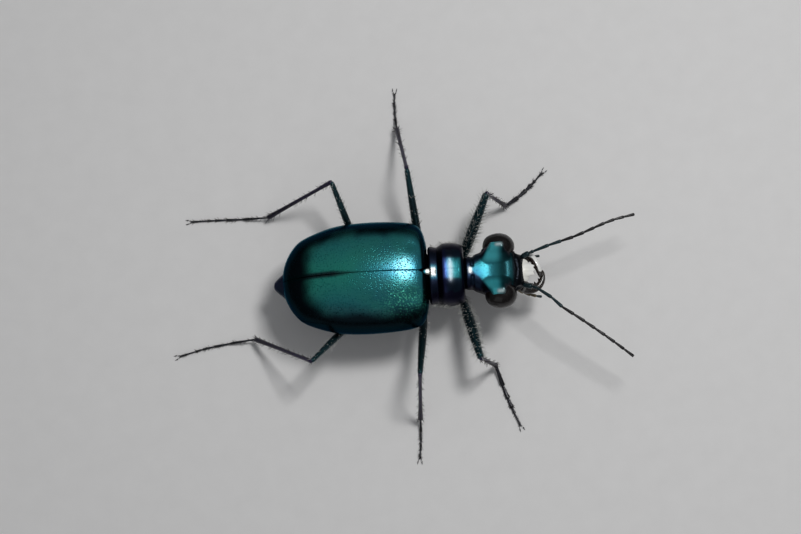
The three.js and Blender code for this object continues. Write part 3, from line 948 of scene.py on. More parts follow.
def palp_material(colours):
    """Mouth feelers: amber-ivory joints and a dark metallic last one."""
    found = bpy.data.materials.get("Palp skin")
    if found:
        return found
    made, tree, shader, place = new_material("Palp skin")
    gloss(shader, 0.25, 0.34, 0.4, 0.15)
    drift = use_group(tree, drift_group(), place, Per_metre=2000.0)
    pale = blend(tree, drift["Share"], (0.1, 0.075, 0.035), (0.2, 0.16, 0.09))
    skin = blend(tree, attribute(tree, "dull"), pale, (0.01, 0.025, 0.03))
    tree.links.new(skin, shader.inputs["Base Color"])
    relief(tree, shader, drift["Speckle"], 0.006)
    return made


def bristle_material(name, colour):
    """Bristles: a satin thread, a little darker at some roots."""
    found = bpy.data.materials.get(name)
    if found:
        return found
    made, tree, shader, place = new_material(name)
    gloss(shader, 0.0, 0.45)
    drift = use_group(tree, drift_group(), place, Per_metre=1500.0)
    skin = blend(tree, drift["Share"], colour, [c * 0.72 for c in colour])
    tree.links.new(skin, shader.inputs["Base Color"])
    return made


def floor_material():
    """A plain pale floor with a trace of grain."""
    found = bpy.data.materials.get("Pale floor")
    if found:
        return found
    made, tree, shader, place = new_material("Pale floor")
    gloss(shader, 0.0, 0.7)
    grain = add(tree, "TexNoise", {"Vector": place, "Scale": 900.0, "Detail": 4.0})
    tree.links.new(blend(tree, grain.outputs["Fac"], (0.84, 0.83, 0.82), (0.9, 0.89, 0.88)), shader.inputs["Base Color"])
    return made


# Pieces


def shaded(form, lit, fall):
    """Marks painted shade where a forebody form turns away from above: lit is the upward share of the normal where that
    shade starts.
    """
    points = places(form)
    normals = np.empty(len(points) * 3)
    form.data.vertices.foreach_get("normal", normals)
    up = normals.reshape(-1, 3)[:, 2]
    return np.clip((lit - up) / fall, 0, 1)


class BEETLE_OT_trunk(bpy.types.Operator):
    """Model the belly plates, the chest and the small shield between the wing cases"""

    bl_idname = "beetle.trunk"
    bl_label = "Trunk"

    def execute(self, context):
        colours = context.scene.beetle_colours
        cuticle = underside_material(colours)
        rows = drawn_out(TRUNK, 120)
        tail = [tuple(r) for r in rows if r[0] < -3.4]
        chest = [tuple(r) for r in rows if r[0] >= -3.75]
        plates = []
        for k, row in enumerate(tail[::2]):
            plates.append(row)
            if k % 5 == 4 and row[0] > -7.7:
                x, half, top, bottom = row
                plates.append((x + 0.02, half - 0.07, top, bottom + 0.07))
        belly = body_form("belly_plates", plates, 40, 1)
        hand_over(belly, "underside", cuticle, "abdomen")

        chest_form = body_form("chest_plates", chest[::3], 40, 2)
        points = places(chest_form)
        for sign in SIDES.values():
            side = points[:, 1] * sign > 1.2
            slope = points[:, 0] + 0.55 * (points[:, 2] - 2.6)
            for line in (-2.1, -0.75):
                swell(chest_form, side & (abs(slope - line) < 0.03) & (points[:, 2] < 3.3), -0.05, 0.12)
        low = points[:, 2] < 2.1
        swell(chest_form, low & (abs(points[:, 1]) < 0.02), -0.05, 0.14)
        hand_over(chest_form, "underside", cuticle, "thorax")

        start_clean()
        bpy.ops.mesh.primitive_circle_add(
            vertices=3, radius=0.5 * MM, fill_type="NGON", location=at(SHIELD["middle"], 0, 3.93), rotation=(0, 0, math.pi / 2)
        )
        shield = bpy.context.object
        shield.name = "shield_plate"
        bpy.ops.object.transform_apply(location=True, rotation=True, scale=True)
        bpy.ops.object.mode_set(mode="EDIT")
        bpy.ops.transform.resize(value=(SHIELD["length"] / 0.75, SHIELD["half"] / 0.433, 1), center_override=at(SHIELD["middle"], 0, 3.93))
        bpy.ops.mesh.extrude_region_move(TRANSFORM_OT_translate={"value": (0, 0, 0.31 * MM)})
        bpy.ops.mesh.inset(thickness=0.03 * MM, depth=0.02 * MM)
        bpy.ops.mesh.inset(thickness=0.1 * MM, depth=0.015 * MM)
        bpy.ops.mesh.select_all(action="SELECT")
        bpy.ops.transform.rotate(value=math.radians(-9), orient_axis="Y", center_override=at(SHIELD["middle"], 0, 4.25))
        bpy.ops.mesh.normals_make_consistent(inside=False)
        bpy.ops.object.mode_set(mode="OBJECT")
        smooth(shield, 3)
        # Painted highlight on the shield's front.
        mark_forebody(shield, gleam=(places(shield)[:, 0] + 0.03) / 0.06)
        hand_over(shield, "forebody", forebody_material(colours))
        return {"FINISHED"}


class BEETLE_OT_wing_cases(bpy.types.Operator):
    """Model the two domed wing cases as thin shells with folded lower edges"""

    bl_idname = "beetle.wing_cases"
    bl_label = "Wing cases"

    along = 72
    across = 46

    def execute(self, context):
        sizes = context.scene.beetle_sizes
        for side, sign in SIDES.items():
            start_clean()
            bpy.ops.mesh.primitive_grid_add(x_subdivisions=self.along, y_subdivisions=self.across, size=2 * MM, location=(0, 0, 0))
            shell = bpy.context.object
            shell.name = f"wing_case_{side}"
            grid = np.empty(len(shell.data.vertices) * 3)
            shell.data.vertices.foreach_get("co", grid)
            grid = grid.reshape(-1, 3) / MM
            lengthwise = (grid[:, 0] + 1) / 2
            outward = (grid[:, 1] + 1) / 2
            put_places(shell, self.dome(lengthwise, outward, sign, sizes.seam / MM))
            self.finish_shell(shell, sizes.wall)
            self.mark(shell, sign)
            hand_over(shell, "elytra", case_material(context.scene.beetle_colours), f"elytron_{side}")
        return {"FINISHED"}

    def dome(self, lengthwise, outward, sign, seam):
        """Points of one shell from their shares of its length and of the way from the back's line to the lower edge."""
        steps = 400
        rows = drawn_out(DOME, steps + 1)
        x, half, top, rim, low = rows[np.round(lengthwise * steps).astype(int)].T
        shield = SHIELD["half"] * (1 - (SHIELD["front"] - x) / SHIELD["length"]) + 0.03
        parting = seam / 2 * np.clip((-x - 2.5) / 3, 0.2, 1)
        inner = np.clip(np.maximum(parting, shield), 0, half * 0.9)
        power = 2 / DOME_SQUARE
        start = np.arcsin((inner / half) ** (1 / power))
        turn = start + (np.pi / 2 - start) * np.clip(outward / FOLD_START, 0, 1) ** 1.5
        y = half * np.sin(turn) ** power
        z = rim + (top - rim) * np.clip(np.cos(turn), 0, 1) ** power
        fold = np.clip((outward - FOLD_START) / (1 - FOLD_START), 0, 1) * np.pi / 2
        trunk = drawn_out(TRUNK, steps + 1)
        wall = np.interp(x, trunk[:, 0], trunk[:, 1])
        y = y - np.maximum(half - wall * 1.0, 0.1) * (1 - np.cos(fold))
        z = z - (rim - low) * np.sin(fold)
        bead = np.exp(-(((outward - FOLD_START + 0.03) / 0.035) ** 2))
        y = y + 0.035 * bead
        shoulder = np.exp(-((x + 0.75) ** 2) / 0.16 - (y - 2.05) ** 2 / 0.14)
        dimple = np.exp(-((x + 0.62) ** 2) / 0.1 - (y - 1.35) ** 2 / 0.1)
        z = z + 0.05 * shoulder - 0.045 * dimple
        return np.column_stack([x, y * sign, z])

    def finish_shell(self, shell, wall):
        """Turns the sheet's face outward, thickens it inward and rounds it."""
        take(shell)
        bpy.ops.object.mode_set(mode="EDIT")
        bpy.ops.mesh.select_all(action="SELECT")
        bpy.ops.mesh.remove_doubles(threshold=0.002 * MM)
        bpy.ops.object.mode_set(mode="OBJECT")
        highest = max(shell.data.polygons, key=lambda face: face.center.z)
        if highest.normal.z < 0:
            bpy.ops.object.mode_set(mode="EDIT")
            bpy.ops.mesh.select_all(action="SELECT")
            bpy.ops.mesh.flip_normals()
            bpy.ops.object.mode_set(mode="OBJECT")
        thickness = shell.modifiers.new("Wall", "SOLIDIFY")
        thickness.thickness = wall
        thickness.offset = -1
        bpy.ops.object.modifier_apply(modifier=thickness.name)
        smooth(shell, 1)

    def mark(self, shell, sign):
        """Marks how near each point is to the margin, where the shade is painted, and to the seam; also where the
        bluish streak, the greener tail and the painted glints lie.
        """
        points = places(shell)
        rows = drawn_out(DOME, 400)
        order = np.argsort(rows[:, 0])
        half = np.interp(points[:, 0], rows[order, 0], rows[order, 1])
        sideways = np.clip(points[:, 1] * sign / np.maximum(half, 0.2), 0, 1.2)
        # The rim mark places the painted shade along the sides, the tail and the front edge.
        to_tail = np.clip(1.2 - (points[:, 0] + 7.47) / 2.3, 0, 1)
        to_front = np.clip(1.4 - (0.1 - points[:, 0]) / 0.35, 0, 1)
        rim = (sideways**4 + to_tail**3 + to_front**3) ** (1 / 3)
        paint(shell, "rim", rim)
        near = points[:, 1] * sign
        rearward = np.clip((-3.2 - points[:, 0]) / 1.6, 0, 1)
        paint(shell, "seam", np.exp(-((near / (0.03 + 0.14 * rearward)) ** 4)) * rearward)
        # The blue mark is a bluish streak: partly the cuticle's own colour, partly painted highlight.
        forward = np.clip((points[:, 0] + 4.5) / 3, 0, 1)
        paint(shell, "blue", np.exp(-((near / 0.5) ** 2)) * forward)
        paint(shell, "leaf", np.exp(-((near / 1.4) ** 2)) * np.clip((-2.2 - points[:, 0]) / 2, 0, 1))
        # Where the painted glints of green lie, near the right wing case's front.
        painted_glint_spots = np.exp(-(((points[:, 0] + 1.2) / 0.9) ** 2) - ((points[:, 1] + 1.5) / 0.55) ** 2)
        paint(shell, "painted_glints", painted_glint_spots)


class BEETLE_OT_collar(bpy.types.Operator):
    """Model the grooved ring between the wing cases and the head"""

    bl_idname = "beetle.collar"
    bl_label = "Collar"

    def execute(self, context):
        rows = [tuple(row) for row in drawn_out(COLLAR, 44)]
        collar = body_form("collar", rows, 48, 2, square=2.4)
        points = places(collar)
        middle = (abs(points[:, 1]) < 0.02) & (points[:, 2] > 3.5) & (abs(points[:, 0] - 1.12) < 0.6)
        swell(collar, middle, -0.014, 0.05)
        for sign in SIDES.values():
            push(collar, (1.25, 0.72 * sign, 4.3), (0, 0, 0.05), 0.5)
            side = (abs(points[:, 2] - 2.95) < 0.025) & (points[:, 1] * sign > 0.8)
            swell(collar, side, -0.04, 0.1)
        points = places(collar)
        along, across = points[:, 0], points[:, 1]
        # Painted shade: the groove, the bands at both ends and the sides beyond the lit middle are darkened, with the
        # turned-away skin.
        groove = np.exp(-(((along - 0.64) / 0.07) ** 2))
        sides = 1 / (1 + np.exp((0.54 - abs(across - 0.11)) / 0.03))
        # Painted highlights: the flange and the crest of the disc take pale grey under a clear coat.
        flange = (along < 0.56) * np.exp(-((across / 0.24) ** 4)) * (points[:, 2] > 3.9)
        disc = 0.42 * np.exp(-(((along - 1.3) / 0.16) ** 2) - (across / 0.7) ** 4) * (points[:, 2] > 4.2)
        band = ((along < 0.66) | (along > 1.96)) * (1 - np.exp(-((across / 0.34) ** 4)))
        mark_forebody(
            collar,
            shade=np.maximum.reduce([shaded(collar, 0.93, 0.1), 0.9 * groove, 0.95 * band, 0.9 * sides]),
            violet=np.exp(-(((along - 0.94) / 0.16) ** 2)),
            green=(along - 1.28) / 0.2,
            gleam=np.maximum(flange, disc),
        )
        hand_over(collar, "forebody", forebody_material(context.scene.beetle_colours), "prothorax")
        return {"FINISHED"}


class BEETLE_OT_head(bpy.types.Operator):
    """Model the head with its hollow brow, eye rims, face plate and bulging eyes"""

    bl_idname = "beetle.head"
    bl_label = "Head and eyes"

    chin = [(3.9, 0.2, 2.45, 2.2), (4.02, 0.46, 2.5, 2.12), (4.3, 0.6, 2.55, 2.1), (4.62, 0.56, 2.6, 2.13), (4.84, 0.4, 2.65, 2.22), (4.9, 0.2, 2.6, 2.32)]

    def execute(self, context):
        colours = context.scene.beetle_colours
        rows = [tuple(row) for row in drawn_out(HEAD, 44)]
        head = body_form("head_skin", rows, 52, 2, square=3.0)
        for sign in SIDES.values():
            points = places(head)
            outer = (abs(points[:, 1] * sign - 0.95) < 0.09) & (points[:, 2] > 3.5)
            draw(head, outer & (abs(points[:, 0] - 3.68) < 0.32), (0, 0.24 * sign, 0.44), 0.6)
            points = places(head)
            plate = (points[:, 1] * sign > 0.75) & (points[:, 2] > 3.6) & (abs(points[:, 0] - 3.7) < 0.75)
            soften(head, plate, 8)
            points = places(head)
            rim = (points[:, 1] * sign > 1.0) & (points[:, 2] > 3.98) & (abs(points[:, 0] - 3.78) < 0.3)
            draw(head, rim, (0.0, 0.1 * sign, 0.15), 0.26)
            points = places(head)
            gap = (points - np.array([EYE_CENTRE[0], EYE_CENTRE[1] * sign, EYE_CENTRE[2]])) / np.array(EYE_RADII)
            near = np.linalg.norm(gap, axis=1)
            swell(head, (near > 1.02) & (near < 1.08) & (points[:, 2] < 3.8), 0.05, 0.1)
            push(head, (4.72, 0.8 * sign, 3.3), (-0.16, -0.1 * sign, -0.02), 0.3)
            push(head, (4.55, 0.85 * sign, 2.45), (0.05, 0.12 * sign, 0), 0.5)
        points = places(head)
        front = (points[:, 2] > 3.2) & (abs(points[:, 1]) < 0.8)
        swell(head, front & (abs(points[:, 0] - 4.74 - 0.06 * np.cos(points[:, 1] * 4)) < 0.02), -0.045, 0.07)
        swell(head, (points[:, 2] > 3.2) & (abs(points[:, 1]) > 0.3) & (abs(points[:, 0] - 2.44) < 0.02), -0.03, 0.12)
        push(head, (5.12, 0, 2.85), (-0.3, 0, 0), 0.5)
        points = places(head)
        along, across, lit_side = points[:, 0], abs(points[:, 1]), abs(points[:, 1] - 0.1)
        # Painted shade: the face plate and the front of the head are darkened towards near-black.
        plate = 1 / (1 + np.exp(-(along - 4.5) / 0.04))
        # Where the painted brow light goes.
        brow = (0.35 + 0.65 * np.clip((across - 0.35) / 0.3, 0, 1)) * (points[:, 2] > 3.8)
        brow = brow * np.exp(-(((along - 3.4) / 0.5) ** 4))
        brow = brow * np.clip((along - 2.55 - 0.62 * across) / 0.15, 0, 1)
        # Where the painted highlight on each eye ridge lies.
        crest = np.exp(-(((across - 1.25) / 0.1) ** 2) - ((along - 3.88) / 0.2) ** 4) * (points[:, 2] > 4.1)
        # Painted shade: the fan darkens the head outside a wedge lit from the neck, set off towards the lamp's side;
        # the neck's sides are darkened too.
        fan = np.clip((lit_side - 0.1 - 0.85 * (along - 2.5)) / 0.17, 0, 1)
        shade = np.maximum(shaded(head, 0.9, 0.3), 0.9 * fan) * (1 - brow)
        neck = 0.95 * (1 - np.exp(-((across / 0.26) ** 4))) / (1 + np.exp((along - 2.5) / 0.05))
        mark_forebody(
            head,
            lengthwise=np.exp(-(((across - 0.62) / 0.3) ** 2)) * (along > 2.9),
            shade=np.maximum(shade, neck),
            green=(along - 3.4) / 0.4,
            dark=np.maximum(0.55 * np.clip((along - 3.4) / 0.5, 0, 1) * (1 - brow), plate),
            bright=brow * (1 - crest),
            # The painted highlight on the neck is set in the next mark.
            gleam=0.85 * np.exp(-(((along - 2.33) / 0.1) ** 2) - ((points[:, 1] - 0.04) / 0.17) ** 4) * (points[:, 2] > 3.6),
            crest=crest,
        )
        chin = body_form("chin", self.chin, 20, 2)
        # Painted shade under the head: the chin takes violet-black and near-black.
        mark_forebody(chin, shade=0.6, dark=0.4)
        head = join_forms("head_skin", [head, chin])
        hand_over(head, "forebody", forebody_material(colours), "head")

        for side, sign in SIDES.items():
            start_clean()
            centre = pair_point(EYE_CENTRE, sign)
            bpy.ops.mesh.primitive_uv_sphere_add(segments=64, ring_count=40, radius=MM, location=centre)
            eye = bpy.context.object
            eye.name = f"eye_dome_{side}"
            bpy.ops.object.transform_apply(location=True, rotation=True, scale=True)
            bpy.ops.object.mode_set(mode="EDIT")
            bpy.ops.transform.resize(value=EYE_RADII, center_override=centre)
            bpy.ops.mesh.bisect(
                plane_co=pair_point((0, 0.5, 0), sign), plane_no=(0, sign, 0), use_fill=True, clear_inner=True
            )
            bpy.ops.mesh.select_all(action="SELECT")
            bpy.ops.mesh.normals_make_consistent(inside=False)
            bpy.ops.object.mode_set(mode="OBJECT")
            push(eye, (3.4, 1.6 * sign, 3.75), (-0.04, 0.02 * sign, 0.0), 0.5)
            smooth(eye, 1)
            hand_over(eye, "eyes", eye_material(colours), f"eye_{side}")
        return {"FINISHED"}


class BEETLE_OT_mouth(bpy.types.Operator):
    """Model the ivory upper lip, the sickle jaws and the mouth feelers"""

    bl_idname = "beetle.mouth"
    bl_label = "Mouth"

    lip_rear = 5.05
    lip_front = 5.7
    lip_half = 0.62

    def execute(self, context):
        colours = context.scene.beetle_colours
        self.lip(colours)
        for side, sign in SIDES.items():
            self.jaw(side, sign, colours)
        joint = unit_part("palp_joint", [(-0.14, 0.34), (0, 0.5), (0.06, 0.7), (0.35, 0.85), (0.75, 1.0), (0.95, 0.85), (1.0, 0.5)])
        for kind, palp in MOUTH_FEELERS.items():
            bends = [0, 0.24, 0.44, 0.66, 0.83, 1] if kind == "outer" else [0, 0.28, 0.52, 0.76, 1]
            for side, sign in SIDES.items():
                route = path_points([pair_point(p, sign) for p in palp["points"]], bends)
                joints = [
                    place_copy(joint, a, b, (0.13 - 0.012 * k) * MM) for k, (a, b) in enumerate(zip(route, route[1:]))
                ]
                for k, part in enumerate(joints):
                    paint(part, "dull", 1.0 if k == len(joints) - 1 else 0.0)
                piece = join_forms(f"palp_{kind}_{side}", joints)
                hand_over(piece, "feelers", palp_material(colours), f"{palp['nodes']}_{side}")
        remove(joint)
        return {"FINISHED"}

    def lip(self, colours):
        """A plate arched across, with three blunt teeth in the middle of its front edge."""
        start_clean()
        bpy.ops.mesh.primitive_grid_add(x_subdivisions=22, y_subdivisions=40, size=2 * MM, location=(0, 0, 0))
        lip = bpy.context.object
        lip.name = "upper_lip"
        grid = np.empty(len(lip.data.vertices) * 3)
        lip.data.vertices.foreach_get("co", grid)
        forward, across = ((grid.reshape(-1, 3) / MM)[:, :2].T + [[1], [0]]) * [[0.5], [1]]
        front = self.front_edge(across)
        x = self.lip_rear + (front - self.lip_rear) * forward
        y = across * self.lip_half * (0.9 + 0.1 * np.sin(np.pi * forward))
        z = 3.56 - 0.13 * forward - 0.06 * forward**2 - 0.12 * abs(across) ** 3
        z = z + 0.03 * np.exp(-((across / 0.25) ** 2)) * forward
        put_places(lip, np.column_stack([x, y, z]))
        take(lip)
        if max(lip.data.polygons, key=lambda face: face.center.z).normal.z < 0:
            bpy.ops.object.mode_set(mode="EDIT")
            bpy.ops.mesh.select_all(action="SELECT")
            bpy.ops.mesh.flip_normals()
            bpy.ops.object.mode_set(mode="OBJECT")
        thickness = lip.modifiers.new("Wall", "SOLIDIFY")
        thickness.thickness = 0.13 * MM
        thickness.offset = -1
        bpy.ops.object.modifier_apply(modifier=thickness.name)
        smooth(lip, 1)
        points = places(lip)
        across = np.clip(points[:, 1] / self.lip_half, -1, 1)
        paint(lip, "edge", (points[:, 0] - self.front_edge(across) + 0.05) / 0.05)
        paint(lip, "hinge", (5.09 - points[:, 0]) / 0.05)
        hand_over(lip, "lip", lip_material(colours), "labrum")

    def front_edge(self, across):
        """The lip's front edge: two shoulders, a middle lobe and its three blunt teeth."""
        lobe = 1 / (1 + np.exp((abs(across) - 0.56) / 0.03))
        teeth = np.exp(-((across / 0.12) ** 2)) + 0.8 * np.exp(-(((abs(across) - 0.36) / 0.1) ** 2))
        return self.lip_front - 0.26 * (1 - lobe) - 0.1 * abs(across) ** 8 + 0.09 * teeth - 0.04

    def jaw(self, side, sign, colours):
        """One sickle, swept from its hinge round to the tip, with its inner teeth."""
        points = JAWS[side]
        shares = [0, 0.08, 0.18, 0.3, 0.42, 0.54, 0.65, 0.75, 0.84, 0.92, 0.97, 1]
        thick = [0.24, 0.31, 0.33, 0.29, 0.24, 0.21, 0.19, 0.16, 0.13, 0.1, 0.06, 0.02]
        route = path_points([pair_point(p, sign) for p in points], shares)
        start_clean()
        bpy.ops.mesh.primitive_circle_add(
            vertices=16, radius=thick[0] * MM, fill_type="NGON", location=route[0], rotation=(0, math.pi / 2, 0)
        )
        blade = bpy.context.object
        bpy.ops.object.transform_apply(location=True, rotation=True, scale=True)
        bpy.ops.object.mode_set(mode="EDIT")
        heading = 0.0
        for k in range(1, len(route)):
            step = route[k] - route[k - 1]
            turn = math.atan2(step.y, step.x) - heading
            heading += turn
            bpy.ops.mesh.extrude_region_move(TRANSFORM_OT_translate={"value": step})
            bpy.ops.transform.rotate(value=-turn, orient_axis="Z", center_override=route[k])
            change = thick[k] / thick[k - 1]
            bpy.ops.transform.resize(value=(change, change, change), center_override=route[k])
        bpy.ops.mesh.select_all(action="SELECT")
        bpy.ops.transform.resize(value=(1, 1, 0.78), center_override=route[5])
        bpy.ops.mesh.normals_make_consistent(inside=False)
        bpy.ops.object.mode_set(mode="OBJECT")
        smooth(blade, 2)
        spots = places(blade)
        fine = path_points([pair_point(p, sign) for p in points], np.linspace(0, 1, 60))
        lines = (np.array([tuple(p) for p in fine]) - np.array(WAIST)) / MM
        nearest = np.argmin(np.linalg.norm(spots[:, None] - lines[None], axis=2), axis=1)
        share = nearest / 59
        middle = np.array([5.35, 0.0])
        outer = np.linalg.norm(spots[:, :2] - middle, axis=1) - np.linalg.norm(lines[nearest][:, :2] - middle, axis=1)
        pale = np.clip(0.6 + outer * 7, 0, 1) * np.clip((JAW_PALE[side] - share) / 0.1, 0, 1)
        paint(blade, "pale", pale * np.clip((share - 0.1) / 0.1, 0, 1))
        tooth = unit_part("jaw_tooth", [(0, 1.0), (0.3, 0.8), (0.6, 0.52), (0.85, 0.26), (1.0, 0.06)])
        teeth = []
        for spot, length in ((0.5, 0.36), (0.64, 0.34)):
            root = path_points([pair_point(p, sign) for p in points], [spot])[0]
            point = root + Vector((-0.42, -0.9 * sign, 0)).normalized() * length * MM
            teeth.append(place_copy(tooth, root, point, 0.13 * MM, 0.1 * MM))
        remove(tooth)
        piece = join_forms(f"jaw_{side}", [blade, *teeth])
        hand_over(piece, "jaws", jaw_material(colours), f"mandible_{side}")


class BEETLE_OT_feelers(bpy.types.Operator):
    """Model the two long feelers of eleven joints each"""

    bl_idname = "beetle.feelers"
    bl_label = "Feelers"

    def execute(self, context):
        radius = context.scene.beetle_sizes.feeler
        colours = context.scene.beetle_colours
        joint = unit_part("feeler_joint", [(-0.06, 0.38), (0, 0.52), (0.04, 0.66), (0.25, 0.74), (0.75, 0.95), (0.93, 1.0), (0.99, 0.8), (1.0, 0.5)])
        scape = unit_part("feeler_root", [(0, 0.5), (0.06, 0.66), (0.2, 0.6), (0.4, 0.82), (0.75, 1.0), (0.94, 0.92), (1.0, 0.55)], 12)
        shares = np.concatenate([[0], np.cumsum(FEELER_JOINTS)]) / sum(FEELER_JOINTS)
        for side, points in FEELERS.items():
            route = path_points([at(*p) for p in points], shares)
            joints = []
            for k, (start, end) in enumerate(zip(route, route[1:])):
                thick = 1.6 * radius if k == 0 else radius * (1.1 - 0.02 * k)
                made = place_copy(scape if k == 0 else joint, start, end, thick)
                paint(made, "dull", 0.0 if k < 4 else 1.0)
                paint(made, "along", 0.0 if k < 4 else 0.6)
                joints.append(made)
            piece = join_forms(f"feeler_{side}", joints)
            skin = limb_material("Feeler cuticle", colours.legs, (0.01, 0.02, 0.025), 0.6, 0.1)
            hand_over(piece, "feelers", skin, *[f"antenna_{part}_{side}" for part in ("base", "middle", "tip")])
        remove(joint, scape)
        return {"FINISHED"}


def leg_lines(name):
    """Where a leg's parts lie: root, hip, knee and ankle, and the toes' path, in the row's place."""
    pair_name, side = name.split("_")
    pair, pose = PAIRS[pair_name], STANCE[name]
    root, hip = (pair_point(pair[key], SIDES[side]) for key in ("root", "hip"))
    knee = hip + direction(pose["femur"], pose["lift"]) * pair["femur"] * MM
    dip = math.degrees(math.asin((knee.z / MM - ANKLE_HEIGHT) / pair["tibia"]))
    ankle = knee + direction(pose["tibia"], -dip) * pair["tibia"] * MM
    toes = [ankle.copy()]
    for share, height in ((0.12, 0.2), (0.3, 0.1), (0.65, 0.085), (1, 0.085)):
        heading = pose["tarsus"] + pose["curl"] * (share - 0.5)
        toe = ankle + direction(heading) * pair["tarsus"] * pose["stretch"] * share * MM
        toe.z = height * MM
        toes.append(toe)
    return root, hip, knee, ankle, toes


class BEETLE_OT_legs(bpy.types.Operator):
    """Model the six legs: hips, upper and lower legs, spurs, toe joints and claws"""

    bl_idname = "beetle.legs"
    bl_label = "Legs"

    def execute(self, context):
        sizes, colours = context.scene.beetle_sizes, context.scene.beetle_colours
        parts = self.unit_parts()
        upper = limb_material("Upper leg cuticle", colours.legs, (0.01, 0.05, 0.06), 0.85, 0.5)
        lower = limb_material("Lower leg cuticle", (0.03, 0.025, 0.06), (0.012, 0.01, 0.02), 0.7, 0.3)
        foot = limb_material("Foot cuticle", colours.feet, (0.008, 0.008, 0.01), 0.5, 0.3)
        hips = underside_material(colours)
        for name in STANCE:
            root, hip, knee, ankle, toes = leg_lines(name)
            thick = {"front": sizes.front_femur, "middle": sizes.middle_femur, "hind": sizes.hind_femur}[name.split("_")[0]]
            coxa = place_copy(parts["coxa"], root, hip + (hip - root) * 0.12, 0.36 * MM)
            coxa = join_forms(f"hip_{name}", [coxa])
            hand_over(coxa, "underside", hips, f"coxa_{name}")

            way = (knee - hip).normalized()
            collar = place_copy(parts["ring"], hip - way * 0.16 * MM, hip + way * 0.42 * MM, thick * 0.85)
            femur = place_copy(parts["femur"], hip + way * 0.1 * MM, knee, thick * 0.9, thick)
            femur = join_forms(f"upper_leg_{name}", [femur, collar])
            hand_over(femur, "legs", upper, f"femur_{name}")

            shin = (ankle - knee).normalized()
            side = Vector((0, 0, 1)).cross(shin).normalized()
            forms = [place_copy(parts["tibia"], knee - shin * 0.04 * MM, ankle, 0.115 * MM)]
            for hand in (-1, 1):
                spur_root = ankle - shin * 0.12 * MM + side * hand * 0.07 * MM
                spur_tip = spur_root + (shin + side * hand * 0.3).normalized() * 0.46 * MM
                forms.append(place_copy(parts["spur"], spur_root, spur_tip, 0.035 * MM))
            tibia = join_forms(f"lower_leg_{name}", forms)
            hand_over(tibia, "legs", lower, f"tibia_{name}")

            self.foot(name, toes, parts, foot)
        remove(*parts.values())
        return {"FINISHED"}

    def unit_parts(self):
        """The parts that every leg is laid out from."""
        return {
            "coxa": unit_part("hip_part", [(-0.1, 0.5), (0.1, 0.95), (0.4, 1.08), (0.75, 0.85), (0.95, 0.55), (1.0, 0.3)], 16, 2),
            "ring": unit_part("ring_part", [(0, 0.45), (0.15, 0.8), (0.45, 1.0), (0.8, 0.9), (1.0, 0.6)], 14),
            "femur": unit_part(
                "femur_part",
                [(0, 0.5), (0.03, 0.66), (0.08, 0.82), (0.18, 0.98), (0.35, 1.06), (0.55, 0.98), (0.75, 0.84)]
                + [(0.9, 0.68), (0.955, 0.72), (0.985, 0.66), (1.003, 0.35)],
                16,
                2,
            ),
            "tibia": unit_part(
                "tibia_part",
                [(0, 0.7), (0.015, 1.1), (0.05, 1.08), (0.1, 0.9), (0.35, 0.86), (0.7, 0.9), (0.92, 1.15)]
                + [(0.98, 1.3), (1.0, 1.0), (1.005, 0.5)],
                12,
                2,
            ),
            "spur": unit_part("spur_part", [(0, 1.0), (0.3, 0.85), (0.7, 0.45), (1.0, 0.08)], 8),
            "toe": unit_part("toe_part", [(-0.08, 0.36), (0, 0.48), (0.04, 0.6), (0.3, 0.66), (0.7, 0.9), (0.94, 1.05), (0.99, 0.85), (1.0, 0.5)]),
            "claw": unit_part("claw_part", [(0, 1.0), (0.25, 0.95), (0.6, 0.6), (0.85, 0.3), (1.0, 0.06)], 8),
        }

    def foot(self, name, toes, parts, material):
        """Five toe joints that shorten towards the claws, wider on the front feet, and two spread claws."""
        bends = path_points(toes, TOE_SHARES)
        front = name.startswith("front")
        widths = (0.13, 0.13, 0.125, 0.09, 0.07) if front else (0.08, 0.075, 0.07, 0.065, 0.06)
        forms = [
            place_copy(parts["toe"], a, b, width * MM, (0.07 if front else 0.06) * MM)
            for a, b, width in zip(bends, bends[1:], widths)
        ]
        way = (bends[-1] - bends[-2]).normalized()
        for hand in (-1, 1):
            spread = Matrix.Rotation(math.radians(26 * hand), 3, "Z")
            start = bends[-1] - way * 0.05 * MM
            middle = start + (spread @ way) * 0.22 * MM + Vector((0, 0, 0.015 * MM))
            tip = middle + (way + (spread @ way) * 0.4).normalized() * 0.2 * MM
            tip.z = 0.025 * MM
            forms.append(place_copy(parts["claw"], start, middle, 0.034 * MM))
            forms.append(place_copy(parts["claw"], middle, tip, 0.028 * MM))
        foot = join_forms(f"foot_{name}", forms)
        hand_over(foot, "feet", material, f"tarsus_{name}")


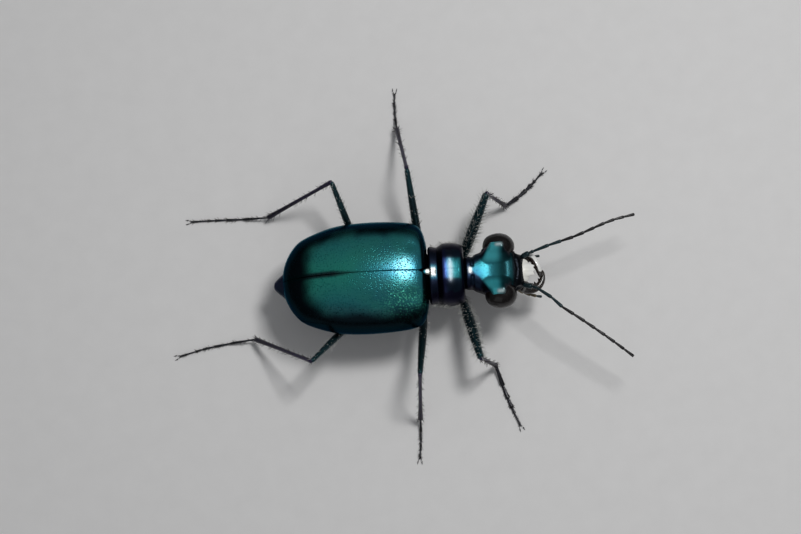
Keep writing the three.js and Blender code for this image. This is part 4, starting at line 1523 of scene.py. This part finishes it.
class BEETLE_OT_bristles(bpy.types.Operator):
    """Model the white and dark bristles on the legs and body"""

    bl_idname = "beetle.bristles"
    bl_label = "Bristles"

    patch = 0.003

    def execute(self, context):
        sizes, colours = context.scene.beetle_sizes, context.scene.beetle_colours
        white = bristle_material("White bristles", colours.bristles)
        dark = bristle_material("Dark bristles", (0.03, 0.024, 0.02))
        self.draws = np.random.default_rng(17)

        pale, spines = [], []
        for tile, name in enumerate(STANCE):
            front = name.startswith("front")
            root, hip, knee, ankle, toes = leg_lines(name)
            length = sizes.bristle / MM
            count = int(sizes.bristle_count * (2.6 if front else 0.8))
            upper = bpy.data.objects[f"upper_leg_{name}"]
            lower = bpy.data.objects[f"lower_leg_{name}"]
            foot = bpy.data.objects[f"foot_{name}"]
            reach = (length * 0.6, length * 1.2) if front else (length * 0.5, length)
            pale.append(self.on_limb(upper, hip, knee, count, reach, 0.6 if front else 0.9, tile / 20))
            spines.append(self.on_limb(lower, knee, ankle, 90, (0.16, 0.3), 1.1, tile / 20))
            spines.append(self.on_limb(foot, toes[0], toes[-1], 80, (0.1, 0.2), 1.1, 0.3 + tile / 20))
            coxa = bpy.data.objects[f"hip_{name}"]
            pale.append(self.on_limb(coxa, root, hip, 40, (0.2, 0.4), 0.8, 0.3 + tile / 20))
        self.make("bristles_leg_white", pale, 0.014, "legs", white)
        self.make("bristles_leg_dark", spines, 0.012, "legs", dark)

        sides = []
        for tile, (name, count) in enumerate((("collar", 260), ("chest_plates", 380), ("belly_plates", 300))):
            form = bpy.data.objects[name]
            points = places(form)
            start, end = at(points[:, 0].min(), 0, 2.9), at(points[:, 0].max(), 0, 2.9)
            sides.append(self.on_limb(form, end, start, count, (0.18, 0.34), 1.0, tile / 20, band=(-0.75, 0.1), ends=0.14))
        self.make("bristles_body", sides, 0.014, "underside", white)
        return {"FINISHED"}

    def on_limb(self, form, start, end, count, lengths, lean, tile, band=(-1.0, 1.0), ends=0.0):
        """Seeded roots on a form, each with its way, its length and its place on an unrolled map of the form."""
        mesh = form.data
        faces = len(mesh.polygons)
        centres, normals, areas = np.empty(faces * 3), np.empty(faces * 3), np.empty(faces)
        mesh.polygons.foreach_get("center", centres)
        mesh.polygons.foreach_get("normal", normals)
        mesh.polygons.foreach_get("area", areas)
        centres, normals = centres.reshape(-1, 3), normals.reshape(-1, 3)
        line = np.array((end - start).normalized())
        spot = (centres - np.array(start)) @ line / (end - start).length
        allowed = (normals[:, 2] >= band[0]) & (normals[:, 2] <= band[1]) & (abs(spot - 0.5) < 0.5 - ends)
        weight = areas * allowed
        chosen = self.draws.choice(faces, count, p=weight / weight.sum())
        roots, out = centres[chosen], normals[chosen]
        roots = roots + self.draws.normal(0, 0.01 * MM, roots.shape)
        axis = np.array((end - start).normalized())
        ways = out + lean * axis + self.draws.normal(0, 0.18, out.shape)
        ways /= np.linalg.norm(ways, axis=1)[:, None]
        reach = (roots - np.array(start)) @ axis
        share = np.clip(reach / (end - start).length, 0, 1)
        around = np.arctan2(out[:, 1], out[:, 2]) / (2 * math.pi) + 0.5
        flat = np.column_stack([tile + around * 0.045, 0.02 + share * 0.95])
        return roots, ways, self.draws.uniform(*lengths, count) * MM, flat

    def make(self, name, groups, radius, slot, material):
        """One mesh of thin, slightly bent, three-sided bristles."""
        roots, ways, lengths, flat = (np.concatenate(column) for column in zip(*groups))
        count = len(roots)
        side = np.cross(ways, [0.31, 0.12, 0.94])
        side /= np.linalg.norm(side, axis=1)[:, None]
        other = np.cross(ways, side)
        droop = np.array([0, 0, -0.12]) * lengths[:, None]
        points = np.empty((count, 7, 3))
        shifts = np.empty((count, 7, 2))
        for k in range(3):
            angle = 2 * math.pi * k / 3
            spoke = (side * math.cos(angle) + other * math.sin(angle)) * radius * MM
            points[:, k] = roots - ways * 0.02 * MM + spoke
            points[:, 3 + k] = roots + ways * lengths[:, None] * 0.55 + droop * 0.3 + spoke * 0.7
            shifts[:, k] = shifts[:, 3 + k] = (math.cos(angle), math.sin(angle))
        points[:, 6] = roots + ways * lengths[:, None] + droop
        points[:, :, 2] = np.maximum(points[:, :, 2], 0.004 * MM)
        shifts[:, 6] = 0
        faces = [(0, 2, 1)]
        for k in range(3):
            after = (k + 1) % 3
            faces += [(k, after, 3 + after, 3 + k), (3 + k, 3 + after, 6)]
        whole = [tuple(7 * i + corner for corner in face) for i in range(count) for face in faces]
        mesh = bpy.data.meshes.new(name)
        mesh.from_pydata(points.reshape(-1, 3), [], whole)
        places_flat = (flat[:, None] + shifts * self.patch / 2).reshape(-1, 2)
        layer = mesh.uv_layers.new(name="OFBake")
        corners = np.empty(len(mesh.loops), np.int32)
        mesh.loops.foreach_get("vertex_index", corners)
        layer.data.foreach_set("uv", places_flat[corners].ravel())
        piece = bpy.data.objects.new(name, mesh)
        bpy.context.scene.collection.objects.link(piece)
        take(piece)
        bpy.ops.object.shade_smooth()
        hand_over(piece, slot, material)


class BEETLE_OT_stage(bpy.types.Operator):
    """Set up the pale floor, the soft light and the camera at the photograph's angle"""

    bl_idname = "beetle.stage"
    bl_label = "Stage"

    elevation = 77.0
    roll = 3.0
    pixel = 0.053
    waist_at = (426.0, 289.5)
    picture_middle = (400.5, 267.0)
    lens = 200.0

    def execute(self, context):
        scene = context.scene
        start_clean()
        bpy.ops.mesh.primitive_plane_add(size=0.6, location=(0, 0, 0))
        floor = bpy.context.object
        floor.name = "floor"
        floor.data.materials.append(floor_material())

        world = bpy.data.worlds.new("Pale room")
        world.use_nodes = True
        tree = world.node_tree
        height = add(tree, "SeparateXYZ", {0: add(tree, "TexCoord").outputs["Generated"]}).outputs["Z"]
        overhead = between(tree, height, 0.0, 1.0, 0.08, 0.22)
        seen = add(tree, "LightPath").outputs["Is Camera Ray"]
        strength = add(tree, "Mix", {0: seen, 2: overhead, 3: 0.6}).outputs[0]
        tree.nodes["Background"].inputs["Color"].default_value = (0.93, 0.96, 1.0, 1)
        tree.links.new(strength, tree.nodes["Background"].inputs["Strength"])
        scene.world = world
        scene.view_settings.view_transform = "Standard"

        self.lamp("Key", (0.036, 0.027, 0.11), 0.028, 0.058)
        self.lamp("Fill", (-0.04, -0.13, 0.09), 0.12, 0.016)
        self.camera(scene)
        return {"FINISHED"}

    def lamp(self, name, place, width, power):
        """A square soft light that faces the beetle's back."""
        bpy.ops.object.light_add(type="AREA", location=place)
        lamp = bpy.context.object
        lamp.name = name
        lamp.data.size = width
        lamp.data.energy = power
        lamp.rotation_euler = (-Vector(place)).to_track_quat("-Z", "Y").to_euler()

    def camera(self, scene):
        """A long lens over the back, tilted and rolled as the photograph was."""
        lean, roll = math.radians(self.elevation), math.radians(self.roll)
        level = Vector((0, math.sin(lean), math.cos(lean)))
        right = Vector((1, 0, 0)) * math.cos(roll) - level * math.sin(roll)
        up = Vector((1, 0, 0)) * math.sin(roll) + level * math.cos(roll)
        back = Vector((0, -math.cos(lean), math.sin(lean)))
        sideways = (self.picture_middle[0] - self.waist_at[0]) * self.pixel * MM
        upward = (self.waist_at[1] - self.picture_middle[1]) * self.pixel * MM
        aim = WAIST + right * sideways + up * upward
        data = bpy.data.cameras.new("Camera")
        data.lens = self.lens
        distance = 801 * self.pixel * MM * self.lens / data.sensor_width
        data.clip_start = 0.01
        data.clip_end = 5
        camera = bpy.data.objects.new("Camera", data)
        scene.collection.objects.link(camera)
        camera.matrix_world = Matrix.Translation(aim + back * distance) @ Matrix((right, up, back)).transposed().to_4x4()
        scene.camera = camera


class BEETLE_PT_pieces(bpy.types.Panel):
    """Lists the beetle's pieces, sizes and colours"""

    bl_label = "Tiger beetle"
    bl_space_type = "VIEW_3D"
    bl_region_type = "UI"
    bl_category = "Beetle"

    def draw(self, context):
        for operator in OPERATORS:
            self.layout.operator(operator.bl_idname)
        for group in (context.scene.beetle_sizes, context.scene.beetle_colours):
            box = self.layout.box()
            for name in group.bl_rna.properties.keys():
                if name not in {"name", "rna_type"}:
                    box.prop(group, name)


OPERATORS = (
    BEETLE_OT_trunk,
    BEETLE_OT_wing_cases,
    BEETLE_OT_collar,
    BEETLE_OT_head,
    BEETLE_OT_mouth,
    BEETLE_OT_feelers,
    BEETLE_OT_legs,
    BEETLE_OT_bristles,
    BEETLE_OT_stage,
)
CLASSES = (BeetleSizes, BeetleColours, *OPERATORS, BEETLE_PT_pieces)


def register():
    for item in CLASSES:
        bpy.utils.register_class(item)
    bpy.types.Scene.beetle_sizes = PointerProperty(type=BeetleSizes)
    bpy.types.Scene.beetle_colours = PointerProperty(type=BeetleColours)


def unregister():
    del bpy.types.Scene.beetle_colours
    del bpy.types.Scene.beetle_sizes
    for item in reversed(CLASSES):
        bpy.utils.unregister_class(item)


def main():
    register()
    bpy.ops.beetle.trunk()
    bpy.ops.beetle.wing_cases()
    bpy.ops.beetle.collar()
    bpy.ops.beetle.head()
    bpy.ops.beetle.mouth()
    bpy.ops.beetle.feelers()
    bpy.ops.beetle.legs()
    bpy.ops.beetle.bristles()
    bpy.ops.beetle.stage()
    start_clean()


if __name__ == "__main__":
    main()
